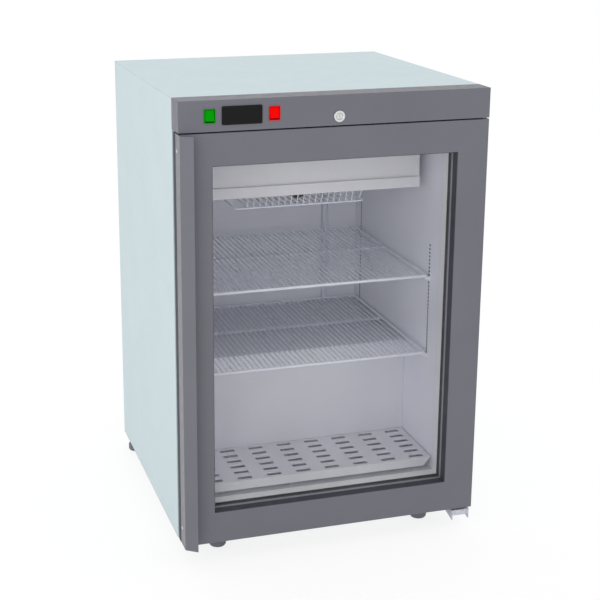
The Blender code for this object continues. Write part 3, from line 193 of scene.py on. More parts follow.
class Shading:
    """Node tree of one finish, laid out around a Principled shader."""

    def __init__(self, name: str) -> None:
        """Starts an empty material.

        Args:
            name: name of the material.
        """
        self.material = bpy.data.materials.new(name)
        self.material.use_nodes = True
        self.tree = self.material.node_tree
        self.tree.nodes.clear()
        self.output = self.tree.nodes.new("ShaderNodeOutputMaterial")
        self.shader = self.tree.nodes.new("ShaderNodeBsdfPrincipled")
        self.link(self.shader.outputs["BSDF"], self.output.inputs["Surface"])
        self.place = self.tree.nodes.new("ShaderNodeTexCoord").outputs["Object"]

    def link(self, source: Socket, target: Socket) -> None:
        """Joins two sockets."""
        self.tree.links.new(source, target)

    def node(self, kind: str, inputs: Inputs, **settings: object) -> bpy.types.Node:
        """Adds a node to the finish's tree and fills its inputs."""
        return add_node(self.tree, kind, inputs, **settings)

    def constant(self, values: Mapping[str, object]) -> None:
        """Sets even values on the shader's own sockets."""
        for name, value in values.items():
            self.shader.inputs[name].default_value = value

    def noise(
            self, scale: float, detail: float = 2.0,
            stretch: Point = (1.0, 1.0, 1.0)) -> Socket:
        """Adds a noise texture on the object's own coordinates.

        Args:
            scale: features per metre.
            detail: octaves of the noise.
            stretch: scale of the pattern along each axis.

        Returns:
            The noise value.
        """
        spot = self.node("ShaderNodeMapping", {"Vector": self.place, "Scale": stretch})
        inputs = {"Vector": spot.outputs[0], "Scale": scale, "Detail": detail}
        return self.node("ShaderNodeTexNoise", inputs).outputs[0]

    def cells(self, scale: float) -> Socket:
        """Adds a cell pattern on the object's own coordinates.

        Args:
            scale: cells per metre.

        Returns:
            One even value for each cell.
        """
        made = self.node("ShaderNodeTexVoronoi", {"Vector": self.place, "Scale": scale})
        parts = self.node("ShaderNodeSeparateColor", {"Color": made.outputs["Color"]})
        return parts.outputs[0]

    def spread(self, value: Socket, low: float, high: float) -> Socket:
        """Maps the middle of a noise value to a range.

        Args:
            value: noise value.
            low: result at the low end.
            high: result at the high end.

        Returns:
            The mapped value.
        """
        inputs = {
            "Value": value, "From Min": NOISE_LOW, "From Max": NOISE_HIGH, "To Min": low,
            "To Max": high}
        return self.node("ShaderNodeMapRange", inputs).outputs[0]

    def mixed(
            self, share: Socket, first: Socket | Sequence[float],
            second: Socket | Sequence[float]) -> Socket:
        """Mixes two linear colours, or sockets that give them, by the share of the second."""
        inputs = {MIX_SHARE: share, MIX_FIRST: first, MIX_SECOND: second}
        return self.node("ShaderNodeMix", inputs, data_type="RGBA").outputs[MIX_RESULT]

    def tint(self, value: Socket, dark: Rgb, light: Rgb) -> Socket:
        """Mixes a dark and a light colour of 0 to 255 by a noise value."""
        share = self.spread(value, 0.0, 1.0)
        return self.mixed(share, linear_rgba(dark), linear_rgba(light))

    def bump(self, height: Socket, strength: float, distance: float) -> None:
        """Roughens the surface by a height value.

        Args:
            height: noise value.
            strength: share of the bump that shows.
            distance: depth of the bump in metres.
        """
        inputs = {"Height": height, "Strength": strength, "Distance": distance}
        made = self.node("ShaderNodeBump", inputs)
        self.link(made.outputs[0], self.shader.inputs["Normal"])


@dataclass(frozen=True)
class Finish:
    """Plain finish with uneven colour and gloss, which the other finishes build on."""

    name: str
    colour: Rgb
    roughness: float = 0.4
    mottle: float = 0.02
    mottle_scale: float = 9.0
    mottle_detail: float = 3.0
    gloss_spread: float = 0.05
    gloss_scale: float = 60.0
    gloss_detail: float = 4.0

    def material(self) -> bpy.types.Material:
        """Gives the finish's material, made on first use.

        Returns:
            The material.
        """
        made = bpy.data.materials.get(self.name)
        if made is None:
            shading = Shading(self.name)
            self.dress(shading)
            made = shading.material
        return made

    def dress(self, shading: Shading) -> None:
        """Lays out colour and roughness.

        Args:
            shading: tree to fill.
        """
        patches = shading.noise(self.mottle_scale, self.mottle_detail)
        gloss = shading.noise(self.gloss_scale, self.gloss_detail)
        self.lay(shading, patches, gloss, self.mottle)

    def lay(
            self, shading: Shading, pattern: Socket, gloss: Socket,
            unevenness: float) -> None:
        """Varies the colour by one value and the roughness by another.

        Args:
            shading: tree to fill.
            pattern: value that the colour follows.
            gloss: value that the roughness follows.
            unevenness: share that the colour darkens or brightens by.
        """
        shader = shading.shader
        dark, light = scaled(self.colour, 1 - unevenness), scaled(self.colour, 1 + unevenness)
        shading.link(shading.tint(pattern, dark, light), shader.inputs["Base Color"])
        low, high = self.roughness - self.gloss_spread, self.roughness + self.gloss_spread
        shading.link(shading.spread(gloss, low, high), shader.inputs["Roughness"])


@dataclass(frozen=True)
class Grained(Finish):
    """Finish with a fine grain on its surface."""

    grain_scale: float = 1800.0
    grain_detail: float = 2.0
    grain_share: float = 0.3
    grain: float = 0.00004
    shine: float = 0.5

    def dress(self, shading: Shading) -> None:
        """Adds the grain to the colour and gloss.

        Args:
            shading: tree to fill.
        """
        super().dress(shading)
        shading.constant({"Specular IOR Level": self.shine})
        grain = shading.noise(self.grain_scale, self.grain_detail)
        shading.bump(grain, self.grain_share, self.grain)


@dataclass(frozen=True)
class Paint(Grained):
    """Stoved paint on sheet steel, with a fine orange peel."""

    grain_scale: float = 420.0
    grain_detail: float = 1.0
    grain_share: float = 0.25
    grain: float = 0.00006


@dataclass(frozen=True)
class Plastic(Grained):
    """Moulded plastic with a fine spark-eroded grain."""


@dataclass(frozen=True)
class Rubber(Grained):
    """Soft sealing rubber, dusty, dull and slightly pitted."""

    roughness: float = 0.62
    mottle: float = 0.12
    grain_scale: float = 900.0
    grain_detail: float = 3.0
    grain_share: float = 0.35
    grain: float = 0.00008
    shine: float = 0.3


@dataclass(frozen=True)
class Zinc(Finish):
    """Galvanised or plated sheet, with faint crystal patches."""

    spangle_scale: float = 90.0
    spangle: float = 0.05
    metallic: float = 1.0
    grain_scale: float = 700.0
    grain_share: float = 0.15
    grain: float = 0.00005

    def dress(self, shading: Shading) -> None:
        """Lays out the metal with its crystal patches.

        Args:
            shading: tree to fill.
        """
        cells = shading.cells(self.spangle_scale)
        self.lay(shading, cells, cells, self.spangle)
        shading.constant({"Metallic": self.metallic})
        shading.bump(shading.noise(self.grain_scale), self.grain_share, self.grain)


@dataclass(frozen=True)
class Metal(Finish):
    """Drawn or brushed metal with streaks along one axis."""

    streak: Point = (1.0, 1.0, 0.04)
    streak_scale: float = 900.0
    streak_detail: float = 3.0
    groove_share: float = 0.12
    groove: float = 0.00003

    def dress(self, shading: Shading) -> None:
        """Lays out the metal with its drawing marks.

        Args:
            shading: tree to fill.
        """
        streaks = shading.noise(self.streak_scale, self.streak_detail, self.streak)
        self.lay(shading, streaks, streaks, self.mottle)
        shading.constant({"Metallic": 1.0})
        shading.bump(streaks, self.groove_share, self.groove)


@dataclass(frozen=True)
class Pane(Finish):
    """Clear float glass that mirrors its surroundings more at a shallow angle."""

    roughness: float = 0.02
    head_on: float = 0.012
    grazing: float = 0.60
    blend: float = 0.5
    power: float = 5.0
    haze: float = 0.005
    haze_scale: float = 4.0
    haze_detail: float = 1.0
    smear_scale: float = 14.0
    smear_detail: float = 4.0

    def dress(self, shading: Shading) -> None:
        """Mixes a clear and a mirroring shader by the viewing angle.

        Args:
            shading: tree to fill.
        """
        shading.tree.nodes.remove(shading.shader)
        facing = shading.node("ShaderNodeLayerWeight", {"Blend": self.blend}).outputs["Facing"]
        curve = shading.node("ShaderNodeMath", {0: facing, 1: self.power}, operation="POWER")
        inputs = {0: curve.outputs[0], 1: self.grazing, 2: self.head_on}
        share = shading.node("ShaderNodeMath", inputs, operation="MULTIPLY_ADD")
        haze = shading.noise(self.haze_scale, self.haze_detail)
        clear = shading.tint(haze, scaled(self.colour, 1 - self.haze), self.colour)
        through = shading.node("ShaderNodeBsdfTransparent", {"Color": clear})
        streaks = shading.noise(self.smear_scale, self.smear_detail)
        smear = shading.spread(streaks, self.roughness / 2, self.roughness * 2)
        mirror = shading.node("ShaderNodeBsdfGlossy", {"Roughness": smear})
        inputs = {0: share.outputs[0], 1: through.outputs[0], 2: mirror.outputs[0]}
        mix = shading.node("ShaderNodeMixShader", inputs)
        shading.link(mix.outputs[0], shading.output.inputs["Surface"])


@dataclass(frozen=True)
class Palette:
    """All finishes of the fridge."""

    cabinet_paint: Finish = Paint(
        "Pale cabinet paint", (204, 221, 225), roughness=0.44, mottle=0.008, shine=0.3)
    door_paint: Finish = Paint(
        "Grey door paint", (108, 108, 117), roughness=0.46, mottle=0.015, shine=0.4)
    handle_paint: Finish = Paint(
        "Grey handle paint", (107, 107, 116), roughness=0.36, mottle=0.015)
    fascia_paint: Finish = Paint(
        "Grey fascia paint", (107, 107, 116), roughness=0.44, mottle=0.015, shine=0.4)
    liner_paint: Finish = Paint(
        "White liner paint", (243, 244, 254), roughness=0.36, mottle=0.012)
    step_paint: Finish = Paint("White step paint", (224, 225, 234), roughness=0.36, mottle=0.012)
    tray_paint: Finish = Paint("White tray paint", (225, 225, 232), roughness=0.34, mottle=0.012)
    cover_paint: Finish = Paint(
        "White cover paint", (233, 233, 239), roughness=0.36, mottle=0.012)
    floor_sheet: Finish = Paint("Grey floor sheet", (212, 213, 221), roughness=0.24, mottle=0.02)
    mouth_plastic: Finish = Plastic(
        "White mouth plastic", (250, 250, 250), roughness=0.38, mottle=0.01)
    clip_plastic: Finish = Plastic(
        "White clip plastic", (240, 241, 244), roughness=0.36, mottle=0.01)
    wire_coat: Finish = Paint(
        "White wire coating", (238, 242, 254), roughness=0.30, mottle=0.015)
    tube_plastic: Finish = Plastic(
        "Milky tube plastic", (230, 234, 245), roughness=0.34, mottle=0.02)
    zinc: Finish = Zinc(
        "Zinc plated sheet", (196, 200, 206), roughness=0.42, spangle_scale=170.0, spangle=0.026)
    hinge_zinc: Finish = Zinc(
        "Dull hinge plate", (196, 197, 210), roughness=0.48, spangle_scale=240.0, metallic=0.35)
    screw_steel: Finish = Metal("Screw steel", (200, 202, 206), roughness=0.30, mottle=0.05)
    copper: Finish = Metal("Copper tube", (186, 116, 78), roughness=0.34, mottle=0.10)
    black_steel: Finish = Paint("Black stove enamel", (34, 34, 36), roughness=0.48, mottle=0.08)
    black_plastic: Finish = Plastic(
        "Black moulded plastic", (30, 30, 31), roughness=0.46, mottle=0.06)
    display_glass: Finish = Plastic(
        "Black display front", (31, 30, 30), roughness=0.40, mottle=0.04, shine=0.06)
    bead_plastic: Finish = Plastic(
        "Dark bead plastic", (84, 84, 90), roughness=0.5, mottle=0.04, shine=0.3)
    # Dark window trim; the same finish on the door's free edge is painted shade for the gap between door and
    # cabinet.
    window_trim_and_gap_shade: Finish = Rubber("Dark window trim", (64, 64, 72), mottle=0.06)
    # Near-black, matte foam tape: real tape behind the holes, darkened into painted shade so that the holes read
    # as shadows.
    tape: Finish = Rubber("Dark foam tape", (13, 13, 14), mottle=0.10, shine=0.05)
    gasket_rubber: Finish = Rubber("Grey gasket rubber", (92, 93, 98), mottle=0.06)
    foot_plastic: Finish = Plastic(
        "Grey foot plastic", (112, 114, 120), roughness=0.5, mottle=0.03)
    glass: Finish = Pane("Clear door glass", (254, 254, 254))
    spacer_metal: Finish = Metal("Bright fin metal", (178, 180, 186), roughness=0.40, mottle=0.03)
    spacer_band: Finish = Plastic(
        "Grey spacer band", (150, 150, 157), roughness=0.55, mottle=0.03)
    foam: Finish = Plastic(
        "Insulating foam", (226, 210, 160), roughness=0.85, mottle=0.05, grain_scale=600.0)
    green_plastic: Finish = Plastic(
        "Green rocker plastic", (0, 152, 0), roughness=0.42, mottle=0.03, shine=0.05)
    # Bezels are darker copies of the rocker colours: painted shade for the dark edges round each rocker.
    green_bezel_edge_shade: Finish = Plastic(
        "Green bezel plastic", (0, 138, 2), roughness=0.46, mottle=0.03, shine=0.05)
    red_plastic: Finish = Plastic(
        "Red rocker plastic", (246, 0, 0), roughness=0.42, mottle=0.02, shine=0.05)
    red_bezel_edge_shade: Finish = Plastic(
        "Red bezel plastic", (228, 2, 3), roughness=0.46, mottle=0.03, shine=0.05)
    silver: Finish = Metal("Bright lock metal", (216, 216, 216), roughness=0.26, mottle=0.03)

    def for_slot(self, slot: Slot) -> Finish:
        """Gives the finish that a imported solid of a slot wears.

        Args:
            slot: material slot of the record.

        Returns:
            The matching finish.
        """
        return {
            Slot.PALE_PAINT: self.cabinet_paint,
            Slot.GREY_FRAME: self.door_paint,
            Slot.GREY_PAINT: self.fascia_paint,
            Slot.WHITE_SHEET: self.liner_paint,
            Slot.WHITE_PLASTIC: self.clip_plastic,
            Slot.WHITE_WIRE: self.wire_coat,
            Slot.ZINC: self.zinc,
            Slot.COPPER: self.copper,
            Slot.BLACK_STEEL: self.black_steel,
            Slot.BLACK_PLASTIC: self.black_plastic,
            Slot.DARK_RUBBER: self.foot_plastic,
            Slot.GLASS: self.glass,
            Slot.ALUMINIUM: self.spacer_metal,
            Slot.FOAM: self.foam,
            Slot.GREEN_PLASTIC: self.green_plastic,
            Slot.RED_PLASTIC: self.red_plastic,
            Slot.SILVER: self.silver,
        }[slot]


PALETTE = Palette()


def mesh_of(shape: bmesh.types.BMesh, outwards: bool = True) -> Mesh:
    """Turns a bmesh into a mesh and frees it.

    Args:
        shape: bmesh to use up.
        outwards: whether normals are recalculated.

    Returns:
        The new mesh.
    """
    if outwards:
        bmesh.ops.recalc_face_normals(shape, faces=shape.faces[:])
    mesh = bpy.data.meshes.new("form")
    shape.to_mesh(mesh)
    shape.free()
    return mesh


def piece_of(name: str, mesh: Mesh) -> bpy.types.Object:
    """Puts a mesh in the scene as an object at the origin.

    Args:
        name: name of the object.
        mesh: its mesh.

    Returns:
        The new object.
    """
    mesh.name = name
    piece = bpy.data.objects.new(name, mesh)
    bpy.context.scene.collection.objects.link(piece)
    return piece


def settled_mesh(piece: bpy.types.Object) -> Mesh:
    """Gives an object's mesh with its modifiers applied."""
    graph = bpy.context.evaluated_depsgraph_get()
    return bpy.data.meshes.new_from_object(piece.evaluated_get(graph))


def settle(piece: bpy.types.Object) -> None:
    """Replaces an object's mesh by the result of its modifiers.

    Args:
        piece: object to change.
    """
    mesh = settled_mesh(piece)
    piece.modifiers.clear()
    piece.data = mesh


def smooth(piece: bpy.types.Object, angle: float = SHEET_ANGLE) -> None:
    """Shades an object smooth, keeping flat faces flat and sharp edges sharp.

    Args:
        piece: object to shade.
        angle: edges sharper than this many degrees stay sharp.
    """
    mesh = piece.data
    mesh.polygons.foreach_set("use_smooth", [True] * len(mesh.polygons))
    mesh.set_sharp_from_angle(angle=math.radians(angle))
    weigh = piece.modifiers.new("even_normals", "WEIGHTED_NORMAL")
    weigh.keep_sharp = True
    settle(piece)


def carried(node: str, name: str) -> bpy.types.Object:
    """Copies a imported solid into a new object, with its loose triangles merged.

    Args:
        node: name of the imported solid.
        name: name of the new object.

    Returns:
        The copy, ready to be softened.
    """
    shape = bmesh.new()
    shape.from_mesh(frame["nodes"][node].data)
    bmesh.ops.remove_doubles(shape, verts=shape.verts[:], dist=MERGE_DISTANCE)
    bmesh.ops.dissolve_limit(
        shape, angle_limit=math.radians(FLAT_ANGLE), verts=shape.verts[:], edges=shape.edges[:])
    mesh = mesh_of(shape, outwards=False)
    for layer in ("custom_normal", "sharp_face", "sharp_edge"):
        if layer in mesh.attributes:
            mesh.attributes.remove(mesh.attributes[layer])
    while mesh.uv_layers:
        mesh.uv_layers.remove(mesh.uv_layers[0])
    return piece_of(name, mesh)


def edges_between(node: str, *sides: Side) -> EdgeTest:
    """Makes a test for edges where two of a solid's outer faces meet.

    Args:
        node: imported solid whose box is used.
        sides: faces that count.

    Returns:
        A test that is true for an edge lying on two of those faces.
    """
    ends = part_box(node)
    levels = [(axis, ends[which][axis]) for axis, which in (side.value for side in sides)]

    def test(start: Vector, end: Vector) -> bool:
        """Tells whether an edge lies on two of the faces.

        Args:
            start: one end of the edge.
            end: its other end.

        Returns:
            True where both ends lie on two faces or more.
        """
        count = 0
        for axis, level in levels:
            if abs(start[axis] - level) < ON_FACE and abs(end[axis] - level) < ON_FACE:
                count += 1
        return count > 1

    return test


def soften(
        piece: bpy.types.Object, width: float, steps: int = EDGE_STEPS,
        pick: EdgeTest | None = None) -> None:
    """Rounds the sharp edges of an object.

    Args:
        piece: object to change.
        width: how far the rounding reaches from the edge, in metres.
        steps: faces across the rounding.
        pick: test for the edges to round, or None for all sharp ones.
    """
    shape = bmesh.new()
    shape.from_mesh(piece.data)
    sharp = [
        edge for edge in shape.edges
        if len(edge.link_faces) == 2 and edge.calc_face_angle(0.0) > math.radians(SHARP_ANGLE)
        and (pick is None or pick(edge.verts[0].co, edge.verts[1].co))]
    bmesh.ops.bevel(
        shape, geom=sharp, offset=width, offset_type="OFFSET", segments=steps,
        profile=ROUND_PROFILE, affect="EDGES", clamp_overlap=True)
    shape.to_mesh(piece.data)
    shape.free()


def joined(meshes: Sequence[Mesh]) -> Mesh:
    """Joins meshes into one.

    Args:
        meshes: meshes to join.

    Returns:
        One mesh with all their faces.
    """
    shape = bmesh.new()
    for mesh in meshes:
        shape.from_mesh(mesh)
    return mesh_of(shape, outwards=False)


def block(middle: Sequence[float], size: Sequence[float]) -> Mesh:
    """Builds a box.

    Args:
        middle: middle of the box.
        size: its length along each axis.

    Returns:
        The closed box.
    """
    shape = bmesh.new()
    made = bmesh.ops.create_cube(shape, size=1.0)["verts"]
    bmesh.ops.scale(shape, vec=size, verts=made)
    bmesh.ops.translate(shape, vec=middle, verts=made)
    return mesh_of(shape)


def cut_away(piece: bpy.types.Object, form: Mesh, crossing: bool = False) -> None:
    """Cuts a form out of an object.

    Args:
        piece: object to change.
        form: closed mesh to take away.
        crossing: whether parts of the form cross each other.
    """
    cutter = piece_of("cutter", form)
    cut = piece.modifiers.new("cut", "BOOLEAN")
    cut.operation = "DIFFERENCE"
    cut.solver = "EXACT"
    cut.use_self = crossing
    cut.object = cutter
    settle(piece)
    bpy.data.objects.remove(cutter)


def band(
        shape: bmesh.types.BMesh, here: Sequence[bmesh.types.BMVert],
        after: Sequence[bmesh.types.BMVert]) -> None:
    """Adds the faces between two closed rings of as many points.

    Args:
        shape: bmesh that takes the faces.
        here: first ring.
        after: second ring.
    """
    for step, point in enumerate(here):
        following = (step + 1) % len(here)
        shape.faces.new((point, here[following], after[following], after[step]))


def turned(profile: Sequence[Pair], sides: int) -> Mesh:
    """Turns a profile round the Z axis.

    Args:
        profile: radius and height of each point, closed at the axis where the radius is 0.
        sides: faces around.

    Returns:
        The turned mesh, its axis through the origin.
    """
    shape = bmesh.new()
    turns = [2 * math.pi * step / sides for step in range(sides)]
    rings = []
    for radius, height in profile:
        spots = [(radius * math.cos(turn), radius * math.sin(turn), height) for turn in turns]
        if radius <= 0.0:
            spots = [(0.0, 0.0, height)]
        rings.append([shape.verts.new(spot) for spot in spots])
    for low, high in zip(rings, rings[1:]):
        for step in range(sides):
            after = (step + 1) % sides
            corners = [
                low[step % len(low)], low[after % len(low)], high[after % len(high)],
                high[step % len(high)]]
            unique = list(dict.fromkeys(corners))
            if len(unique) > 2:
                shape.faces.new(unique)
    if len(rings[0]) > 1 and len(rings[-1]) > 1:
        band(shape, rings[-1], rings[0])
    return mesh_of(shape)


def arc(centre: Pair, radius: float, start: float, end: float, steps: int) -> Outline:
    """Gives points on an arc.

    Args:
        centre: middle of the arc.
        radius: its radius.
        start: first angle in degrees.
        end: last angle in degrees.
        steps: spaces between the points.

    Returns:
        The points, both ends included.
    """
    x, y = centre
    turns = [math.radians(start + (end - start) * step / steps) for step in range(steps + 1)]
    return [(x + radius * math.cos(turn), y + radius * math.sin(turn)) for turn in turns]


def extruded(outline: Sequence[Pair], low: float, high: float) -> Mesh:
    """Draws a closed outline in X and Y up from one height to another.

    Args:
        outline: corners in X and Y.
        low: lower height.
        high: upper height.

    Returns:
        The closed mesh.
    """
    shape = bmesh.new()
    bottom, top = ([shape.verts.new((x, y, z)) for x, y in outline] for z in (low, high))
    shape.faces.new(bottom)
    shape.faces.new(top)
    band(shape, bottom, top)
    return mesh_of(shape)


@dataclass(frozen=True)
class Opening:
    """Rectangle in X and Z."""

    left: float
    bottom: float
    right: float
    top: float

    def corners(self, grow: float) -> Outline:
        """Gives the corners of the rectangle grown outwards by a margin.

        Args:
            grow: margin on every side.

        Returns:
            The four corners in X and Z.
        """
        left, right = self.left - grow, self.right + grow
        bottom, top = self.bottom - grow, self.top + grow
        return [(left, bottom), (right, bottom), (right, top), (left, top)]


def framed(section: Section, window: Opening, edge: Opening) -> Mesh:
    """Draws a section round a rectangular window with mitred corners.

    Args:
        section: the rectangle that each point is measured from, its distance into the material
            and its Y.
        window: inner rectangle.
        edge: outer rectangle.

    Returns:
        The closed ring.
    """
    shape = bmesh.new()
    loops = []
    for anchor, distance, depth in section:
        inside = anchor is Anchor.WINDOW
        corners = window.corners(distance) if inside else edge.corners(-distance)
        loops.append([shape.verts.new((x, depth, z)) for x, z in corners])
    for here, after in zip(loops, [*loops[1:], loops[0]]):
        band(shape, here, after)
    return mesh_of(shape)


def rounded_rectangle(centre: Pair, half: Pair, radius: float) -> Outline:
    """Gives the outline of a rectangle with round corners.

    Args:
        centre: middle of the rectangle.
        half: half its width and height.
        radius: corner radius.

    Returns:
        Points around the outline.
    """
    x, y = centre
    reach_x, reach_y = half[0] - radius, half[1] - radius
    points = []
    for turn, side_x, side_y in ((0, 1, 1), (90, -1, 1), (180, -1, -1), (270, 1, -1)):
        middle = (x + side_x * reach_x, y + side_y * reach_y)
        points += arc(middle, radius, turn, turn + 90, CORNER_STEPS)
    return points


def layered_plate(
        centre: Pair, half: Pair, corner: float, levels: Sequence[Pair]) -> Mesh:
    """Builds a round-cornered plate in X and Z from outlines at several depths.

    Args:
        centre: middle in X and Z.
        half: half its width and height.
        corner: corner radius.
        levels: for each outline, how far it is inset and its Y, from the back to the front.

    Returns:
        The closed plate.
    """
    shape = bmesh.new()
    rings = []
    for inset, depth in levels:
        size = (half[0] - inset, half[1] - inset)
        outline = rounded_rectangle(centre, size, max(corner - inset, corner * CORNER_KEPT))
        rings.append([shape.verts.new((x, depth, z)) for x, z in outline])
    shape.faces.new(rings[0])
    shape.faces.new(rings[-1])
    for here, after in zip(rings, rings[1:]):
        band(shape, here, after)
    return mesh_of(shape)


def loose_points(points: Sequence[Point]) -> Mesh:
    """Makes a mesh of single points, as the spots of repeated forms.

    Args:
        points: where the points are.

    Returns:
        The mesh, without edges.
    """
    mesh = bpy.data.meshes.new("form")
    mesh.from_pydata(points, [], [])
    return mesh


def polyline(points: Sequence[Point], closed: bool = False) -> Mesh:
    """Makes a mesh of points joined by edges, as the path of a tube.

    Args:
        points: points along the path.
        closed: whether the last point is joined to the first.

    Returns:
        The path.
    """
    edges = [(step, step + 1) for step in range(len(points) - 1)]
    if closed:
        edges.append((len(points) - 1, 0))
    mesh = bpy.data.meshes.new("form")
    mesh.from_pydata(points, edges, [])
    return mesh


class FormTree:
    """Geometry Nodes tree laid out node by node, with named inputs."""

    def __init__(self, name: str, sizes: Mapping[str, str]) -> None:
        """Starts a tree with a geometry input and the named inputs.

        Args:
            name: name of the tree.
            sizes: socket type of each named input.
        """
        self.tree = bpy.data.node_groups.new(name, "GeometryNodeTree")
        face = self.tree.interface
        face.new_socket("Geometry", in_out="INPUT", socket_type="NodeSocketGeometry")
        for label, kind in {**sizes, "Finish": "NodeSocketMaterial"}.items():
            face.new_socket(label, in_out="INPUT", socket_type=kind)
        face.new_socket("Geometry", in_out="OUTPUT", socket_type="NodeSocketGeometry")
        self.given = self.tree.nodes.new("NodeGroupInput")
        self.result = self.tree.nodes.new("NodeGroupOutput")

    def size(self, name: str) -> Socket:
        """Gives the socket of a named input."""
        return self.given.outputs[name]

    def add(self, kind: str, inputs: Inputs, **settings: object) -> bpy.types.Node:
        """Adds a node to the tree, sets its options and fills its inputs."""
        return add_node(self.tree, kind, inputs, **settings)

    def close(self, geometry: Socket) -> None:
        """Ends the tree: instances made real, the finish set.

        Args:
            geometry: what the tree has built.
        """
        real = self.add("GeometryNodeRealizeInstances", {"Geometry": geometry})
        inputs = {"Geometry": real.outputs[0], "Material": self.size("Finish")}
        dressed = self.add("GeometryNodeSetMaterial", inputs)
        self.tree.links.new(dressed.outputs[0], self.result.inputs[0])

    def grown(self, base: Mesh, sizes: Mapping[str, object]) -> Mesh:
        """Runs the tree on a base mesh.

        Args:
            base: mesh that the tree takes in.
            sizes: value of each named input.

        Returns:
            The result as a plain mesh.
        """
        host = bpy.data.objects.new("host", base)
        form = host.modifiers.new("form", "NODES")
        form.node_group = self.tree
        for item in self.tree.interface.items_tree:
            if item.item_type == "SOCKET" and item.in_out == "INPUT" and item.name in sizes:
                form[item.identifier] = sizes[item.name]
        bpy.context.scene.collection.objects.link(host)
        mesh = settled_mesh(host)
        bpy.data.objects.remove(host)
        return mesh


class Forms:
    """The repeated and path-following forms of the fridge, as Geometry Nodes trees."""

    def __init__(self) -> None:
        """Builds all trees."""
        self.tube = self.tube_tree()
        self.comb = self.comb_tree()
        self.studs = self.stud_tree()
        self.ring = self.ring_tree()
        self.punched = self.punched_tree()

    @staticmethod
    def swept(tree: FormTree) -> Socket:
        """Lays out a round section drawn along the incoming path.

        Args:
            tree: tree to fill.

        Returns:
            The tube's geometry.
        """
        path = tree.add("GeometryNodeMeshToCurve", {"Mesh": tree.size("Geometry")})
        inputs = {
            "Curve": path.outputs[0], "Count": BEND_STEPS, "Radius": tree.size("Bend"),
            "Limit Radius": True}
        bent = tree.add("GeometryNodeFilletCurve", inputs, mode="POLY")
        inputs = {"Resolution": tree.size("Sides"), "Radius": tree.size("Radius")}
        ring = tree.add("GeometryNodeCurvePrimitiveCircle", inputs)
        inputs = {"Curve": bent.outputs[0], "Profile Curve": ring.outputs[0], "Fill Caps": True}
        tube = tree.add("GeometryNodeCurveToMesh", inputs)
        return tree.add("GeometryNodeSetShadeSmooth", {"Geometry": tube.outputs[0]}).outputs[0]

    def tube_tree(self) -> FormTree:
        """Builds the tree of a bent tube or rod along a path.

        Returns:
            The finished tree.
        """
        sizes = {"Radius": "NodeSocketFloat", "Bend": "NodeSocketFloat", "Sides": "NodeSocketInt"}
        tree = FormTree("bent_tube", sizes)
        tree.close(self.swept(tree))
        return tree

    def comb_tree(self) -> FormTree:
        """Builds the tree of one bent wire repeated evenly across X.

        Returns:
            The finished tree.
        """
        sizes = {
            "Radius": "NodeSocketFloat", "Bend": "NodeSocketFloat", "Sides": "NodeSocketInt",
            "Count": "NodeSocketInt", "Span": "NodeSocketFloat"}
        tree = FormTree("wire_comb", sizes)
        wire = self.swept(tree)
        half = tree.add("ShaderNodeMath", {0: tree.size("Span"), 1: 0.5}, operation="MULTIPLY")
        minus = tree.add("ShaderNodeMath", {0: half.outputs[0], 1: -1.0}, operation="MULTIPLY")
        first = tree.add("ShaderNodeCombineXYZ", {"X": minus.outputs[0]})
        last = tree.add("ShaderNodeCombineXYZ", {"X": half.outputs[0]})
        inputs = {
            "Count": tree.size("Count"), "Start Location": first.outputs[0],
            "Offset": last.outputs[0]}
        row = tree.add("GeometryNodeMeshLine", inputs, mode="END_POINTS")
        inputs = {"Points": row.outputs[0], "Instance": wire}
        tree.close(tree.add("GeometryNodeInstanceOnPoints", inputs).outputs[0])
        return tree

    def stud_tree(self) -> FormTree:
        """Builds the tree that sets a screw head or other stud on each incoming point.

        Returns:
            The finished tree.
        """
        tree = FormTree("studs", {"Head": "NodeSocketObject", "Facing": "NodeSocketVector"})
        head = tree.add("GeometryNodeObjectInfo", {"Object": tree.size("Head")})
        inputs = {"Vector": tree.size("Facing")}
        turn = tree.add("FunctionNodeAlignRotationToVector", inputs, axis="Z")
        inputs = {
            "Points": tree.size("Geometry"), "Instance": head.outputs["Geometry"],
            "Rotation": turn.outputs[0]}
        tree.close(tree.add("GeometryNodeInstanceOnPoints", inputs).outputs[0])
        return tree

    def punched_tree(self) -> FormTree:
        """Builds the tree that punches a hole through the incoming sheet at each given spot.

        Returns:
            The finished tree.
        """
        sizes = {"Spots": "NodeSocketObject", "Punch": "NodeSocketObject"}
        tree = FormTree("punched_sheet", sizes)
        spots = tree.add("GeometryNodeObjectInfo", {"Object": tree.size("Spots")})
        punch = tree.add("GeometryNodeObjectInfo", {"Object": tree.size("Punch")})
        inputs = {"Points": spots.outputs["Geometry"], "Instance": punch.outputs["Geometry"]}
        placed = tree.add("GeometryNodeInstanceOnPoints", inputs)
        punches = tree.add("GeometryNodeRealizeInstances", {"Geometry": placed.outputs[0]})
        inputs = {"Mesh 1": tree.size("Geometry"), "Mesh 2": punches.outputs[0]}
        cut = tree.add("GeometryNodeMeshBoolean", inputs, operation="DIFFERENCE", solver="EXACT")
        tree.close(cut.outputs[0])
        return tree

    def ring_tree(self) -> FormTree:
        """Builds the tree that repeats the incoming form evenly round the Z axis.

        Returns:
            The finished tree.
        """
        tree = FormTree("ring", {"Count": "NodeSocketInt"})
        points = tree.add("GeometryNodePoints", {"Count": tree.size("Count")})
        inputs = {0: 2 * math.pi, 1: tree.size("Count")}
        step = tree.add("ShaderNodeMath", inputs, operation="DIVIDE")
        index = tree.add("GeometryNodeInputIndex", {})
        inputs = {0: step.outputs[0], 1: index.outputs[0]}
        turn = tree.add("ShaderNodeMath", inputs, operation="MULTIPLY")
        around = tree.add("ShaderNodeCombineXYZ", {"Z": turn.outputs[0]})
        inputs = {
            "Points": points.outputs[0], "Instance": tree.size("Geometry"),
            "Rotation": around.outputs[0]}
        tree.close(tree.add("GeometryNodeInstanceOnPoints", inputs).outputs[0])
        return tree


